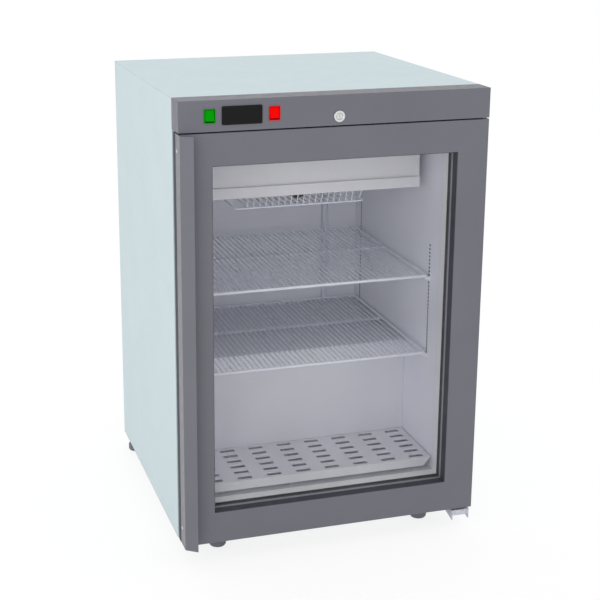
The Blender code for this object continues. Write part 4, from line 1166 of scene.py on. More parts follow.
@dataclass(frozen=True)
class ScrewHead:
    """Pan head with a cross recess.

    All but the radius are shares: the rise and the cross of the radius, the profile of the radius
    and the rise.
    """

    radius: float = 0.0038
    rise: float = 0.55
    profile: tuple[Pair, ...] = (
        (0.0, 1.0), (0.45, 0.96), (0.75, 0.80), (0.94, 0.50), (1.0, 0.15), (1.0, -0.2),
        (0.0, -0.2))
    sides: int = 20
    cross_length: float = 1.10
    cross_width: float = 0.22

    def build(self) -> bpy.types.Object:
        """Builds the head, looking up +Z from the origin.

        Returns:
            The head as a helper object.
        """
        rise = self.radius * self.rise
        profile = [(self.radius * across, rise * up) for across, up in self.profile]
        head = piece_of("screw_head", turned(profile, self.sides))
        length, width = self.radius * self.cross_length, self.radius * self.cross_width
        slots = [
            block((0.0, 0.0, rise), (along, across, rise))
            for along, across in ((length, width), (width, length))]
        cut_away(head, joined(slots), crossing=True)
        return head


@dataclass
class Workshop:
    """Hands finished pieces to the frame and keeps the shared forms."""

    forms: Forms = field(default_factory=Forms)
    count: int = 0

    def hand_in(
            self, piece: bpy.types.Object, finish: Finish, body: Body, slot: Slot,
            stands_for: Sequence[str] = ()) -> None:
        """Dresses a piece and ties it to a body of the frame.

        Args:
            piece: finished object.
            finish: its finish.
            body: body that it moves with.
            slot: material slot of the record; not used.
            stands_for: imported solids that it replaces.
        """
        piece.data.materials.clear()
        piece.data.materials.append(finish.material())
        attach(piece, body.value)
        if stands_for:
            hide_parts(*stands_for)
        self.count += 1
        LOG.info("%s: %d faces on %s", piece.name, len(piece.data.polygons), body.value)

    def softened(
            self, node: str, name: str, finish: Finish, body: Body, slot: Slot, width: float,
            fold: float = 0.0, folds: Sequence[Side] = ()) -> None:
        """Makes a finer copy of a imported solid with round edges, and hands it in.

        Args:
            node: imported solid.
            name: name of the piece.
            finish: its finish.
            body: body that it moves with.
            slot: material slot of the record.
            width: rounding of all sharp edges.
            fold: wider rounding of the folds between outer faces, before that.
            folds: outer faces whose shared edges are folds.
        """
        piece = carried(node, name)
        if fold > 0.0:
            soften(piece, fold, FOLD_STEPS, edges_between(node, *folds))
        soften(piece, width)
        smooth(piece)
        self.hand_in(piece, finish, body, slot, (node,))

    def screw_row(
            self, name: str, spots: Sequence[Point], facing: Point, body: Body,
            screw: ScrewHead = ScrewHead()) -> None:
        """Sets cross-recess screw heads on a face and hands them in as one piece.

        Args:
            name: name of the piece.
            spots: where each head sits.
            facing: direction that the heads look.
            body: body that they move with.
            screw: form of a head.
        """
        head = screw.build()
        sizes = {"Head": head, "Facing": facing, "Finish": PALETTE.screw_steel.material()}
        points = loose_points(spots)
        piece = piece_of(name, self.forms.studs.grown(points, sizes))
        bpy.data.objects.remove(head)
        smooth(piece)
        self.hand_in(piece, PALETTE.screw_steel, body, Slot.ZINC)


@dataclass
class Assembly:
    """Part of the fridge that hands its pieces to the workshop."""

    shop: Workshop


@dataclass
class Cabinet(Assembly):
    """Painted outer panels, mouth frame and rear cover."""

    fold: float = 0.0016
    edge: float = 0.0003
    mouth_edge: float = 0.0005
    grille_edge: float = 0.00025
    screw_inset: float = 0.012
    panel_screw_rows: int = 4
    grille_screw_rows: int = 2

    def build(self) -> None:
        """Builds the panels and the screws of the rear cover."""
        self.panels()
        self.rear()

    def panels(self) -> None:
        """Builds the painted sides and top, and the white mouth frame."""
        sides = (Side.LEFT, Side.RIGHT, Side.FRONT)
        panels = {
            "left_side_panel": ("left_cabinet_side", sides),
            "right_side_panel": ("right_cabinet_side", sides),
            "top_panel": ("cabinet_top", (*sides, Side.TOP))}
        for node, (name, folds) in panels.items():
            self.shop.softened(
                node, name, PALETTE.cabinet_paint, Body.CABINET, Slot.PALE_PAINT, self.edge,
                self.fold, folds)
        self.shop.softened(
            "breaker_frame", "mouth_frame", PALETTE.mouth_plastic, Body.CABINET,
            Slot.WHITE_PLASTIC, self.mouth_edge)

    def rear(self) -> None:
        """Builds the back panel, the slotted grille and their screws."""
        covers = (
            ("back_panel", "cabinet_back", self.edge, self.panel_screw_rows),
            ("rear_grille", "machine_room_grille", self.grille_edge, self.grille_screw_rows))
        margin = self.screw_inset
        spots = []
        for node, name, edge, rows in covers:
            self.shop.softened(node, name, PALETTE.zinc, Body.CABINET, Slot.ZINC, edge)
            low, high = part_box(node)
            for row in range(rows):
                z = low[2] + margin + (high[2] - low[2] - 2 * margin) * row / (rows - 1)
                spots += [(low[0] + margin, high[1], z), (high[0] - margin, high[1], z)]
        self.shop.screw_row("rear_screws", spots, (0.0, 1.0, 0.0), Body.CABINET)


@dataclass
class Liner(Assembly):
    """Punched side walls, with dark foam tape behind their holes, pressed a little into each. The tape is near
    black and matte: painted shade that makes each hole read as a shadow.
    """

    columns: Pair = (-0.1565, 0.2245)
    first_row: float = 0.3306
    row_pitch: float = 0.0078
    rows: int = 31
    hole_half: Pair = (0.0031, 0.0022)
    hole_corner: float = 0.0009
    punch: float = 0.004
    bulge_play: float = 0.0001
    bulge_bevel: float = 0.9
    sunk: float = 0.00015
    tape_half: float = 0.009
    tape_corner: float = 0.003
    tape_gap: float = 0.00005
    tape_sheet: float = 0.0002
    tape_bevel: float = 0.7

    def build(self) -> None:
        """Builds both walls, and the strips of tape and their bulges as one piece; the bulges are painted shade in
        the holes.
        """
        parts = []
        for side, label in ((-1, "left"), (1, "right")):
            node = f"liner_{label}_side"
            self.wall(node, f"{label}_punched_wall")
            inner, outer = sorted(abs(corner[0]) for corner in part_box(node))
            parts += [self.strip(side, outer, column) for column in self.columns]
            parts.append(self.bulges(side, inner, outer))
        piece = piece_of("hole_backing_tape", joined(parts))
        smooth(piece)
        self.shop.hand_in(piece, PALETTE.tape, Body.CABINET, Slot.DARK_RUBBER)

    def wall(self, node: str, name: str) -> None:
        """Builds one side wall with its hole columns punched to full, round-cornered size.

        Args:
            node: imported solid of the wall.
            name: name of the piece.
        """
        low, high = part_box(node)
        levels = [(0.0, self.punch), (0.0, -self.punch)]
        form = layered_plate((0.0, 0.0), self.hole_half, self.hole_corner, levels)
        form.transform(Matrix.Rotation(math.pi / 2, 4, "Z"))
        punch = piece_of("wall_punch", form)
        middle = (low[0] + high[0]) / 2
        spots = piece_of("hole_spots", loose_points(self.spots(middle)))
        plain = carried(node, "plain_wall")
        sizes = {"Spots": spots, "Punch": punch, "Finish": PALETTE.liner_paint.material()}
        piece = piece_of(name, self.shop.forms.punched.grown(plain.data, sizes))
        for helper in (plain, punch, spots):
            bpy.data.objects.remove(helper)
        smooth(piece)
        self.shop.hand_in(piece, PALETTE.liner_paint, Body.CABINET, Slot.WHITE_SHEET, (node,))

    def spots(self, x: float) -> list[Point]:
        """Gives the middle of every hole of the wall that stands at X."""
        rows = [self.first_row + self.row_pitch * row for row in range(self.rows)]
        return [(x, column, row) for column in self.columns for row in rows]

    def strip(self, side: int, wall: float, column: float) -> Mesh:
        """Builds one strip of tape on the outer face of a wall.

        Args:
            side: -1 for the left wall, 1 for the right one.
            wall: distance of the wall's outer face from the middle.
            column: Y of the hole column.

        Returns:
            The strip's closed mesh.
        """
        reach = (self.rows - 1) * self.row_pitch / 2
        sheet = self.tape_sheet
        levels = [(0.0, 0.0), (0.0, -sheet * self.tape_bevel), (sheet, -sheet)]
        centre = (0.0, self.first_row + reach)
        half = (self.tape_half, reach + self.tape_half)
        mesh = layered_plate(centre, half, self.tape_corner, levels)
        face = side * (wall + self.tape_gap + sheet)
        turn = Matrix.Rotation(-side * math.pi / 2, 4, "Z")
        mesh.transform(Matrix.Translation((face, column, 0.0)) @ turn)
        return mesh

    def bulges(self, side: int, inner: float, outer: float) -> Mesh:
        """Sets a flat bulge of near-black tape into every hole of a wall, painted shade that fills the hole.

        Args:
            side: -1 for the left wall, 1 for the right one.
            inner: distance of the wall's inner face from the middle.
            outer: distance of its outer face.

        Returns:
            All bulges of the wall as one mesh.
        """
        depth = outer - inner - self.sunk
        levels = [(0.0, 0.0), (0.0, -depth * self.bulge_bevel), (self.sunk, -depth)]
        wide, tall = (half - self.bulge_play for half in self.hole_half)
        form = layered_plate((0.0, 0.0), (tall, wide), self.hole_corner, levels)
        form.transform(Matrix.Rotation(-math.pi / 2, 4, "X"))
        bulge = piece_of("tape_bulge", form)
        facing = (-float(side), 0.0, 0.0)
        sizes = {"Head": bulge, "Facing": facing, "Finish": PALETTE.tape.material()}
        points = loose_points(self.spots(side * outer))
        mesh = self.shop.forms.studs.grown(points, sizes)
        bpy.data.objects.remove(bulge)
        return mesh


@dataclass
class Shelves(Assembly):
    """Two coated wire shelves and the clips that carry them."""

    rod: float = 0.003
    rod_sides: int = 14
    corner: float = 0.010
    wire: float = 0.0014
    wire_sides: int = 8
    wire_rise: float = 0.0012
    wires: int = 42
    margin: float = 0.016
    rail: float = 0.0025
    rail_sides: int = 12
    rail_drop: float = 0.0032
    rail_back: float = 0.239
    rail_twin: float = 0.0056
    clip_edge: float = 0.0005

    def build(self) -> None:
        """Builds both shelves and their four supports."""
        for level in ("upper", "lower"):
            self.shelf(level)
            for side in ("left", "right"):
                self.shop.softened(
                    f"{level}_{side}_support", f"{level}_{side}_shelf_clips",
                    PALETTE.clip_plastic, Body.CABINET, Slot.WHITE_PLASTIC, self.clip_edge)

    def shelf(self, level: str) -> None:
        """Builds one shelf: round frame, wires from front to back, twin rail below them.

        Args:
            level: upper or lower.
        """
        node = f"{level}_shelf"
        low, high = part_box(node)
        half = high[0] - self.rod
        front, back = low[1] + self.rod, high[1] - self.rod
        height = low[2] + self.rail + self.rail_drop
        finish = PALETTE.wire_coat.material()
        loop = [
            (half, front, height), (half, back, height), (-half, back, height),
            (-half, front, height)]
        sizes = {
            "Radius": self.rod, "Bend": self.corner, "Sides": self.rod_sides, "Finish": finish}
        parts = [self.shop.forms.tube.grown(polyline(loop, closed=True), sizes)]
        wire_z = height + self.wire_rise
        path = polyline([(0.0, front, wire_z), (0.0, back, wire_z)])
        sizes = {
            "Radius": self.wire, "Bend": 0.0, "Sides": self.wire_sides, "Count": self.wires,
            "Span": 2 * (half - self.margin), "Finish": finish}
        parts.append(self.shop.forms.comb.grown(path, sizes))
        rail_y, rail_z = front + self.rail_back, height - self.rail_drop
        sizes = {"Radius": self.rail, "Bend": 0.0, "Sides": self.rail_sides, "Finish": finish}
        for y in (rail_y, rail_y + self.rail_twin):
            path = polyline([(-half, y, rail_z), (half, y, rail_z)])
            parts.append(self.shop.forms.tube.grown(path, sizes))
        piece = piece_of(f"{level}_wire_shelf", joined(parts))
        self.shop.hand_in(piece, PALETTE.wire_coat, Body.CABINET, Slot.WHITE_WIRE, (node,))


@dataclass
class Guard(Assembly):
    """White wire basket under the fan."""

    rod: float = 0.0016
    rod_sides: int = 10
    rod_bend: float = 0.006
    wire: float = 0.0012
    wire_sides: int = 8
    wire_bend: float = 0.004
    overlap: float = 0.0009
    taper: float = 0.012
    ribs: int = 18
    rib_margin: float = 0.024
    strut_spread: float = 0.0816

    def build(self) -> None:
        """Builds the basket: two loops, bent ribs and end struts."""
        low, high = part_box("fan_guard")
        x, y = (low[0] + high[0]) / 2, (low[1] + high[1]) / 2
        half_x, half_y = (high[0] - low[0]) / 2 - self.rod, (high[1] - low[1]) / 2 - self.rod
        top, bottom = high[2] - self.rod, low[2] + self.rod
        inward = self.rod + self.wire - self.overlap
        near, far, rise = half_x - self.taper, half_y - self.taper, bottom + inward
        finish = PALETTE.wire_coat.material()
        rod = {
            "Radius": self.rod, "Bend": self.rod_bend, "Sides": self.rod_sides, "Finish": finish}
        parts = []
        for reach_x, reach_y, z in ((half_x, half_y, top), (near, far, bottom)):
            loop = [
                (x + reach_x, y - reach_y, z), (x + reach_x, y + reach_y, z),
                (x - reach_x, y + reach_y, z), (x - reach_x, y - reach_y, z)]
            parts.append(self.shop.forms.tube.grown(polyline(loop, closed=True), rod))
        path = [
            (0.0, y - half_y + inward, top), (0.0, y - far, rise), (0.0, y + far, rise),
            (0.0, y + half_y - inward, top)]
        wire = {"Radius": self.wire, "Sides": self.wire_sides, "Finish": finish}
        comb = {"Bend": self.wire_bend, "Count": self.ribs, "Span": 2 * (near - self.rib_margin)}
        ribs = self.shop.forms.comb.grown(polyline(path), {**wire, **comb})
        ribs.transform(Matrix.Translation((x, 0.0, 0.0)))
        parts.append(ribs)
        for side in (-1, 1):
            for share in (-1, 0, 1):
                strut_y = y + share * self.strut_spread
                ends = [
                    (x + side * (half_x - inward), strut_y, top),
                    (x + side * near, strut_y, rise)]
                strut = polyline(ends)
                parts.append(self.shop.forms.tube.grown(strut, {**wire, "Bend": 0.0}))
        piece = piece_of("fan_wire_guard", joined(parts))
        self.shop.hand_in(piece, PALETTE.wire_coat, Body.CABINET, Slot.WHITE_WIRE, ("fan_guard",))


@dataclass
class FanWheel(Assembly):
    """Black wheel of the fan: domed hub with twisted, cupped blades.

    The hub's profile gives shares of its radius and half height, from the top down.
    """

    hub: float = 0.022
    hub_height: float = 0.014
    hub_sides: int = 40
    hub_profile: tuple[Pair, ...] = (
        (0.0, 1.0), (0.9, 1.0), (1.0, 0.7), (1.0, -0.5), (0.88, -0.86), (0.6, -1.0), (0.0, -1.0))
    blades: int = 5
    blade_root: float = 0.018
    blade_tip: float = 0.083
    blade_half: float = 0.0245
    blade_sheet: float = 0.0014
    blade_waist: float = 0.45
    blade_swell: float = 1.35
    blade_round: float = 0.20
    blade_cup: float = 0.0016
    root_pitch: float = 33.0
    tip_pitch: float = 22.0
    steps_across: int = 8
    steps_along: int = 10

    def build(self) -> None:
        """Builds the wheel on the fan's axis."""
        axis = next(joint for joint in frame["joints"] if joint["name"] == "fan_spin")["pos_m"]
        half = self.hub_height / 2
        profile = [(self.hub * across, half * up) for across, up in self.hub_profile]
        sizes = {"Count": self.blades, "Finish": PALETTE.black_plastic.material()}
        blades = self.shop.forms.ring.grown(self.blade(), sizes)
        mesh = joined([turned(profile, self.hub_sides), blades])
        mesh.transform(Matrix.Translation(axis))
        piece = piece_of("fan_wheel", mesh)
        smooth(piece, MOULDED_ANGLE)
        self.shop.hand_in(
            piece, PALETTE.black_plastic, Body.FAN, Slot.BLACK_PLASTIC, ("fan_blades",))

    def blade(self) -> Mesh:
        """Builds one blade along +X, steeper at its root than at its tip.

        Returns:
            The blade's closed mesh, its axis through the origin.
        """
        shape = bmesh.new()
        shares = [step / self.steps_along for step in range(self.steps_along + 1)]
        rows = [self.blade_row(shape, share) for share in shares]
        for here, after in zip(rows, rows[1:]):
            for slot in range(self.steps_across):
                shape.faces.new((here[slot], here[slot + 1], after[slot + 1], after[slot]))
        helper = piece_of("fan_blade_form", mesh_of(shape))
        thick = helper.modifiers.new("sheet", "SOLIDIFY")
        thick.thickness = self.blade_sheet
        thick.offset = 0.0
        mesh = settled_mesh(helper)
        bpy.data.objects.remove(helper)
        return mesh

    def blade_row(self, shape: bmesh.types.BMesh, share: float) -> list[bmesh.types.BMVert]:
        """Adds the points across a blade at one radius.

        Args:
            shape: bmesh that takes the points.
            share: place along the blade, 0 at its root and 1 at its tip.

        Returns:
            The points from edge to edge.
        """
        radius = self.blade_root + (self.blade_tip - self.blade_root) * share
        past = max(0.0, (share - (1.0 - self.blade_round)) / self.blade_round)
        swell = math.sin(min(1.0, share * self.blade_swell) * math.pi / 2)
        half = self.blade_half
        for fullness in (swell, math.sqrt(max(0.0, 1.0 - past ** 2))):
            half *= self.blade_waist + (1.0 - self.blade_waist) * fullness
        pitch = math.radians(self.root_pitch + (self.tip_pitch - self.root_pitch) * share)
        row = []
        for slot in range(self.steps_across + 1):
            chord = -1.0 + 2.0 * slot / self.steps_across
            cup = self.blade_cup * (1.0 - chord * chord)
            row.append(shape.verts.new((
                radius, chord * half * math.cos(pitch) - cup * math.sin(pitch),
                chord * half * math.sin(pitch) + cup * math.cos(pitch))))
        return row


@dataclass
class Evaporator(Assembly):
    """Cover under the ceiling with its hem, fan, wire guard and drain tube."""

    cover_edge: float = 0.0003
    hem_height: float = 0.0205
    hem_sheet: float = 0.0004
    hem_bevel: float = 0.1
    hem_slope: float = 0.0022
    hem_inset: float = 0.0006
    tube_wall: float = 0.0012
    tube_lip: float = 0.0004
    tube_sides: int = 28
    tube_angle: float = 50.0

    def build(self) -> None:
        """Builds the cover, its hem, the guard, the fan wheel and the drain tube."""
        self.shop.softened(
            "evaporator_cover", "evaporator_housing", PALETTE.cover_paint, Body.CABINET,
            Slot.WHITE_SHEET, self.cover_edge)
        self.hem()
        Guard(self.shop).build()
        FanWheel(self.shop).build()
        self.drain()

    def hem(self) -> None:
        """Builds the folded hem along the lower edge of the cover's front."""
        low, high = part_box("evaporator_cover")
        front, sheet = low[1], self.hem_sheet
        half = ((high[0] - low[0]) / 2 - self.hem_inset, self.hem_height / 2)
        centre = ((low[0] + high[0]) / 2, low[2] + self.hem_inset + half[1])
        levels = [
            (0.0, front), (0.0, front - sheet * self.hem_bevel), (self.hem_slope, front - sheet)]
        piece = piece_of("housing_hem", layered_plate(centre, half, sheet, levels))
        smooth(piece, MOULDED_ANGLE)
        self.shop.hand_in(piece, PALETTE.cover_paint, Body.CABINET, Slot.WHITE_SHEET)

    def drain(self) -> None:
        """Builds the thin drain tube on the back wall, open at its ends."""
        low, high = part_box("drain_tube")
        bottom, top = low[2], high[2]
        radius = (high[0] - low[0]) / 2
        inner = radius - self.tube_wall
        lip = self.tube_lip
        profile = [
            (radius, bottom + lip), (radius, top - lip), (radius - lip, top), (inner + lip, top),
            (inner, top - lip), (inner, bottom + lip), (inner + lip, bottom),
            (radius - lip, bottom)]
        mesh = turned(profile, self.tube_sides)
        mesh.transform(Matrix.Translation(((low[0] + high[0]) / 2, (low[1] + high[1]) / 2, 0.0)))
        piece = piece_of("drain_pipe", mesh)
        smooth(piece, self.tube_angle)
        self.shop.hand_in(
            piece, PALETTE.tube_plastic, Body.CABINET, Slot.WHITE_PLASTIC, ("drain_tube",))


@dataclass
class Controls(Assembly):
    """Fascia over the door with its rockers, display and lock.

    The lens levels give the inset of each outline and its depth from the lens's rear or front.
    """

    fold: float = 0.0008
    fascia_edge: float = 0.0002
    bezel_edge: float = 0.0004
    paddle_edge: float = 0.0007
    lens_corner: float = 0.0022
    lens_angle: float = 28.0
    lens_rear: tuple[Pair, ...] = ((0.0002, 0.0), (0.0, -0.0003))
    lens_front: tuple[Pair, ...] = (
        (0.0, 0.0008), (0.0003, 0.0002), (0.0009, 0.0), (0.0050, 0.0), (0.0054, 0.0002),
        (0.0056, 0.0005))
    barrel: float = 0.009
    flange_sheet: float = 0.0017
    rim_crown: float = 0.0007
    rim_steps: int = 10
    rim_sides: int = 56
    plug_play: float = 0.0003
    plug_round: float = 0.0008
    plug_shoulder: float = 0.0002
    plug_sides: int = 48
    key_slot: tuple[float, float, float] = (0.0014, 0.0070, 0.003)

    def build(self) -> None:
        """Builds the fascia and everything on it."""
        folds = (Side.LEFT, Side.RIGHT, Side.FRONT, Side.TOP, Side.BOTTOM)
        self.shop.softened(
            "control_fascia", "fascia_panel", PALETTE.fascia_paint, Body.CABINET,
            Slot.GREY_PAINT, self.fascia_edge, self.fold, folds)
        self.switches()
        self.display()
        self.lock()

    def switches(self) -> None:
        """Builds the two rocker switches in their bezels; each bezel is a darker copy of its rocker's colour,
        painted shade for the switch's edges.
        """
        slots = {"green": Slot.GREEN_PLASTIC, "red": Slot.RED_PLASTIC}
        bezels = {"green": PALETTE.green_bezel_edge_shade, "red": PALETTE.red_bezel_edge_shade}
        for colour, slot in slots.items():
            self.shop.softened(
                f"{colour}_housing", f"{colour}_switch_bezel", bezels[colour], Body.CABINET, slot,
                self.bezel_edge)
        for colour, slot in slots.items():
            self.shop.softened(
                f"{colour}_rocker", f"{colour}_switch_paddle", PALETTE.for_slot(slot),
                Body(f"{colour}_switch"), slot, self.paddle_edge)

    def display(self) -> None:
        """Builds the black display front: a round-cornered rim about a sunk window."""
        low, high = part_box("display_lens")
        levels = [
            *((inset, high[1] + depth) for inset, depth in self.lens_rear),
            *((inset, low[1] + depth) for inset, depth in self.lens_front)]
        centre = ((low[0] + high[0]) / 2, (low[2] + high[2]) / 2)
        half = ((high[0] - low[0]) / 2, (high[2] - low[2]) / 2)
        mesh = layered_plate(centre, half, self.lens_corner, levels)
        piece = piece_of("display_front", mesh)
        smooth(piece, self.lens_angle)
        self.shop.hand_in(
            piece, PALETTE.display_glass, Body.CABINET, Slot.BLACK_PLASTIC, ("display_lens",))

    def lock(self) -> None:
        """Builds the lock: a domed rim in the fascia and the slotted plug that turns in it."""
        low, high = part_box("lock_barrel")
        plug_low, plug_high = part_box("lock_plug")
        middle = ((low[0] + high[0]) / 2, low[1], (low[2] + high[2]) / 2)
        place = Matrix.Translation(middle) @ Matrix.Rotation(-math.pi / 2, 4, "X")
        plug, length = (plug_high[0] - plug_low[0]) / 2, plug_high[1] - plug_low[1]
        rim = self.rim_profile((high[0] - low[0]) / 2, plug + self.plug_play, high[1] - low[1])
        face = [
            (0.0, 0.0), (plug - self.plug_round, 0.0),
            (plug - self.plug_shoulder, self.plug_shoulder), (plug, self.plug_round),
            (plug, length), (0.0, length)]
        width, height, depth = self.key_slot
        turnings = (
            ("lock_rim", "lock_barrel", rim, self.rim_sides, Body.CABINET),
            ("lock_plug_face", "lock_plug", face, self.plug_sides, Body.LOCK))
        for name, node, profile, sides, body in turnings:
            mesh = turned(profile, sides)
            mesh.transform(place)
            piece = piece_of(name, mesh)
            if body is Body.LOCK:
                cut_away(piece, block(middle, (width, 2 * depth, height)))
            smooth(piece, MOULDED_ANGLE)
            self.shop.hand_in(piece, PALETTE.silver, body, Slot.SILVER, (node,))

    def rim_profile(self, flange: float, bore: float, length: float) -> list[Pair]:
        """Gives the profile of the lock's rim and barrel.

        Args:
            flange: radius of the rim.
            bore: radius of the hole for the plug.
            length: depth of the barrel behind the rim's face.

        Returns:
            Radius and depth of each point, with the domed face first.
        """
        half = (flange - bore) / 2
        crown = [
            (bore + half * (1.0 + across), -self.rim_crown * rise)
            for across, rise in arc((0.0, 0.0), 1.0, 180, 0, self.rim_steps)]
        return [
            *crown, (flange, self.flange_sheet), (self.barrel, self.flange_sheet),
            (self.barrel, length), (bore, length)]


@dataclass
class Hinges(Assembly):
    """Hinge brackets under and over the door."""

    edge: float = 0.0005
    sheet: float = 0.0028
    screw_side: float = 0.009
    screw_back: float = 0.014

    def build(self) -> None:
        """Builds both brackets and the screws of the lower one."""
        for place, label in (("bottom", "lower"), ("top", "upper")):
            self.shop.softened(
                f"{place}_hinge_bracket", f"{label}_hinge_plate", PALETTE.hinge_zinc,
                Body.CABINET, Slot.ZINC, self.edge)
        low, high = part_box("bottom_hinge_bracket")
        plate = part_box("base_plate")[0][2] - self.sheet
        y = high[1] - self.screw_back
        spots = [(low[0] + self.screw_side, y, plate), (high[0] - self.screw_side, y, plate)]
        self.shop.screw_row("lower_hinge_screws", spots, (0.0, 0.0, -1.0), Body.CABINET)


@dataclass
class Door(Assembly):
    """Glazed door: frame, double glazing, gasket and finger-pull handle.

    The gasket steps give the inset of each fold and its depth behind the gasket's front.
    """

    outer_round: float = 0.0016
    window_round: float = 0.0010
    round_steps: int = 4
    frame_angle: float = 30.0
    lip: float = 0.0195
    lap: float = 0.012
    lock_slot: tuple[Point, Point] = ((-0.009, -0.2611, 0.819), (0.034, -0.2557, 0.850))
    trim_sheet: float = 0.0008
    trim_bevel: Pair = (0.6, 0.1)
    trim_gap: float = 0.00005
    pane_edge: float = 0.0004
    bead_edge: float = 0.0012
    gasket_width: float = 0.018
    gasket_angle: float = 55.0
    gasket_steps: tuple[Pair, ...] = (
        (0.0, 0.0), (0.0, 0.0024), (0.0030, 0.0042), (0.0002, 0.0062), (0.0016, 0.0088),
        (0.0022, 0.0114))
    fin_reach: float = 0.0090
    fin_root: float = 0.0034
    fin_tip: float = 0.0096
    fin_sheet: float = 0.0008
    fin_margin: float = 0.0033
    strip_sheet: float = 0.0005
    strip_width: float = 0.0150
    strip_round: float = 0.0002
    handle_sheet: float = 0.0015
    handle_bend: float = 0.0045
    handle_angle: float = 35.0
    bend_steps: int = 8
    cap_steps: int = 6
    handle_reach: float = 0.0150
    lip_trim: float = 0.006
    handle_screw: float = 0.0034
    handle_screw_set: float = 0.0095
    handle_screw_low: float = 0.036
    handle_screw_high: float = 0.030

    def build(self) -> None:
        """Builds all pieces of the door."""
        self.frame()
        self.trim()
        self.glazing()
        self.gasket()
        self.handle()
        self.gap_shade_strip()

    @staticmethod
    def window() -> Opening:
        """Gives the window between the stiles and rails.

        Returns:
            The rectangle of the window.
        """
        left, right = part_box("door_left_stile"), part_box("door_right_stile")
        bottom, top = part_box("door_bottom_rail"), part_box("door_top_rail")
        return Opening(left[1][0], bottom[1][2], right[0][0], top[0][2])

    @staticmethod
    def edge() -> Opening:
        """Gives the outer edge of the stiles and rails."""
        left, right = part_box("door_left_stile"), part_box("door_right_stile")
        return Opening(left[0][0], left[0][2], right[1][0], left[1][2])

    def ring(self, section: Section) -> Mesh:
        """Draws a section round the door's window."""
        return framed(section, self.window(), self.edge())

    def rounding(self, anchor: Anchor, radius: float, face: float) -> Section:
        """Gives the rounded front of the frame's section, from an edge to the door's face."""
        turns = arc((0.0, 0.0), radius, 180, 270, self.round_steps)
        return [(anchor, radius + x, face + radius + y) for x, y in turns]

    def frame(self) -> None:
        """Builds the welded frame with its glass rebate and the lock's slot."""
        low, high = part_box("door_left_stile")
        face, back = low[1], high[1]
        outer = self.rounding(Anchor.EDGE, self.outer_round, face)
        inner = self.rounding(Anchor.WINDOW, self.window_round, face)
        section = [
            (Anchor.EDGE, 0.0, back), *outer, *reversed(inner),
            (Anchor.WINDOW, 0.0, face + self.lip), (Anchor.WINDOW, self.lap, face + self.lip),
            (Anchor.WINDOW, self.lap, back)]
        piece = piece_of("door_frame", self.ring(section))
        start, end = (Vector(corner) for corner in self.lock_slot)
        cut_away(piece, block((start + end) / 2, end - start))
        smooth(piece, self.frame_angle)
        nodes = ("door_left_stile", "door_right_stile", "door_top_rail", "door_bottom_rail")
        self.shop.hand_in(piece, PALETTE.door_paint, Body.DOOR, Slot.GREY_FRAME, nodes)

    def trim(self) -> None:
        """Builds the dark strip that lines the window between the face and the glass."""
        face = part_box("door_left_stile")[0][1]
        front, rear = face + self.window_round, face + self.lip
        sheet, gap = self.trim_sheet, self.trim_gap
        long, short = (sheet * share for share in self.trim_bevel)
        points = (
            (-gap, front), (-long, front + short), (-sheet, front + long), (-sheet, rear),
            (-gap, rear))
        section = [(Anchor.WINDOW, distance, depth) for distance, depth in points]
        piece = piece_of("window_trim", self.ring(section))
        smooth(piece, MOULDED_ANGLE)
        self.shop.hand_in(piece, PALETTE.window_trim_and_gap_shade, Body.DOOR, Slot.DARK_RUBBER)

    def glazing(self) -> None:
        """Builds the two panes with ground edges, the spacer between them and the bead."""
        pieces = (
            ("outer_glass", "outer_pane", PALETTE.glass, Slot.GLASS, self.pane_edge),
            ("inner_glass", "inner_pane", PALETTE.glass, Slot.GLASS, self.pane_edge),
            ("glass_spacer", "pane_spacer", PALETTE.spacer_band, Slot.ALUMINIUM, self.pane_edge),
            ("glazing_bead", "pane_bead", PALETTE.bead_plastic, Slot.BLACK_PLASTIC, self.bead_edge))
        for node, name, finish, slot, edge in pieces:
            self.shop.softened(node, name, finish, Body.DOOR, slot, edge)

    def gasket(self) -> None:
        """Builds the gasket as folded bellows with a sealing fin to either side."""
        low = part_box("door_gasket")[0]
        inner = self.window().left - low[0] - self.gasket_width
        outer = inner + self.gasket_width
        near = [(Anchor.WINDOW, inner + step, low[1] + depth) for step, depth in self.gasket_steps]
        far = [(Anchor.WINDOW, outer - step, low[1] + depth) for step, depth in self.gasket_steps]
        root, tip = inner + self.fin_sheet, inner - self.fin_reach
        inner_fin = self.fin((Anchor.WINDOW, root), (Anchor.WINDOW, tip), low[1])
        root, tip = outer - self.fin_sheet, self.fin_margin
        outer_fin = self.fin((Anchor.WINDOW, root), (Anchor.EDGE, tip), low[1])
        sections = ([*near, *reversed(far)], inner_fin, outer_fin)
        rings = [self.ring(section) for section in sections]
        piece = piece_of("door_seal", joined(rings))
        smooth(piece, self.gasket_angle)
        self.shop.hand_in(
            piece, PALETTE.gasket_rubber, Body.DOOR, Slot.DARK_RUBBER, ("door_gasket",))

    def fin(self, root: tuple[Anchor, float], tip: tuple[Anchor, float], start: float) -> Section:
        """Gives the section of a thin sealing fin that leans towards the cabinet.

        Args:
            root: rectangle and distance where the fin leaves the bellows.
            tip: rectangle and distance of its free end.
            start: Y of the gasket's front.

        Returns:
            The points of the closed section.
        """
        front = [(*root, start + self.fin_root), (*tip, start + self.fin_tip)]
        rear = [(anchor, distance, depth + self.fin_sheet) for anchor, distance, depth in front]
        return [*front, *reversed(rear)]

    def gap_shade_strip(self) -> None:
        """Builds a dark strip along the rear edge of the door's free side: painted shade for the shadowed gap
        between the door and the cabinet.
        """
        low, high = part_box("door_handle")
        bottom, top = (corner[2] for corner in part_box("door_left_stile"))
        half = (self.strip_sheet / 2, self.strip_width / 2)
        outline = rounded_rectangle((low[0] - half[0], high[1] - half[1]), half, self.strip_round)
        piece = piece_of("door_edge_strip", extruded(outline, bottom, top))
        smooth(piece, MOULDED_ANGLE)
        self.shop.hand_in(piece, PALETTE.window_trim_and_gap_shade, Body.DOOR, Slot.DARK_RUBBER)

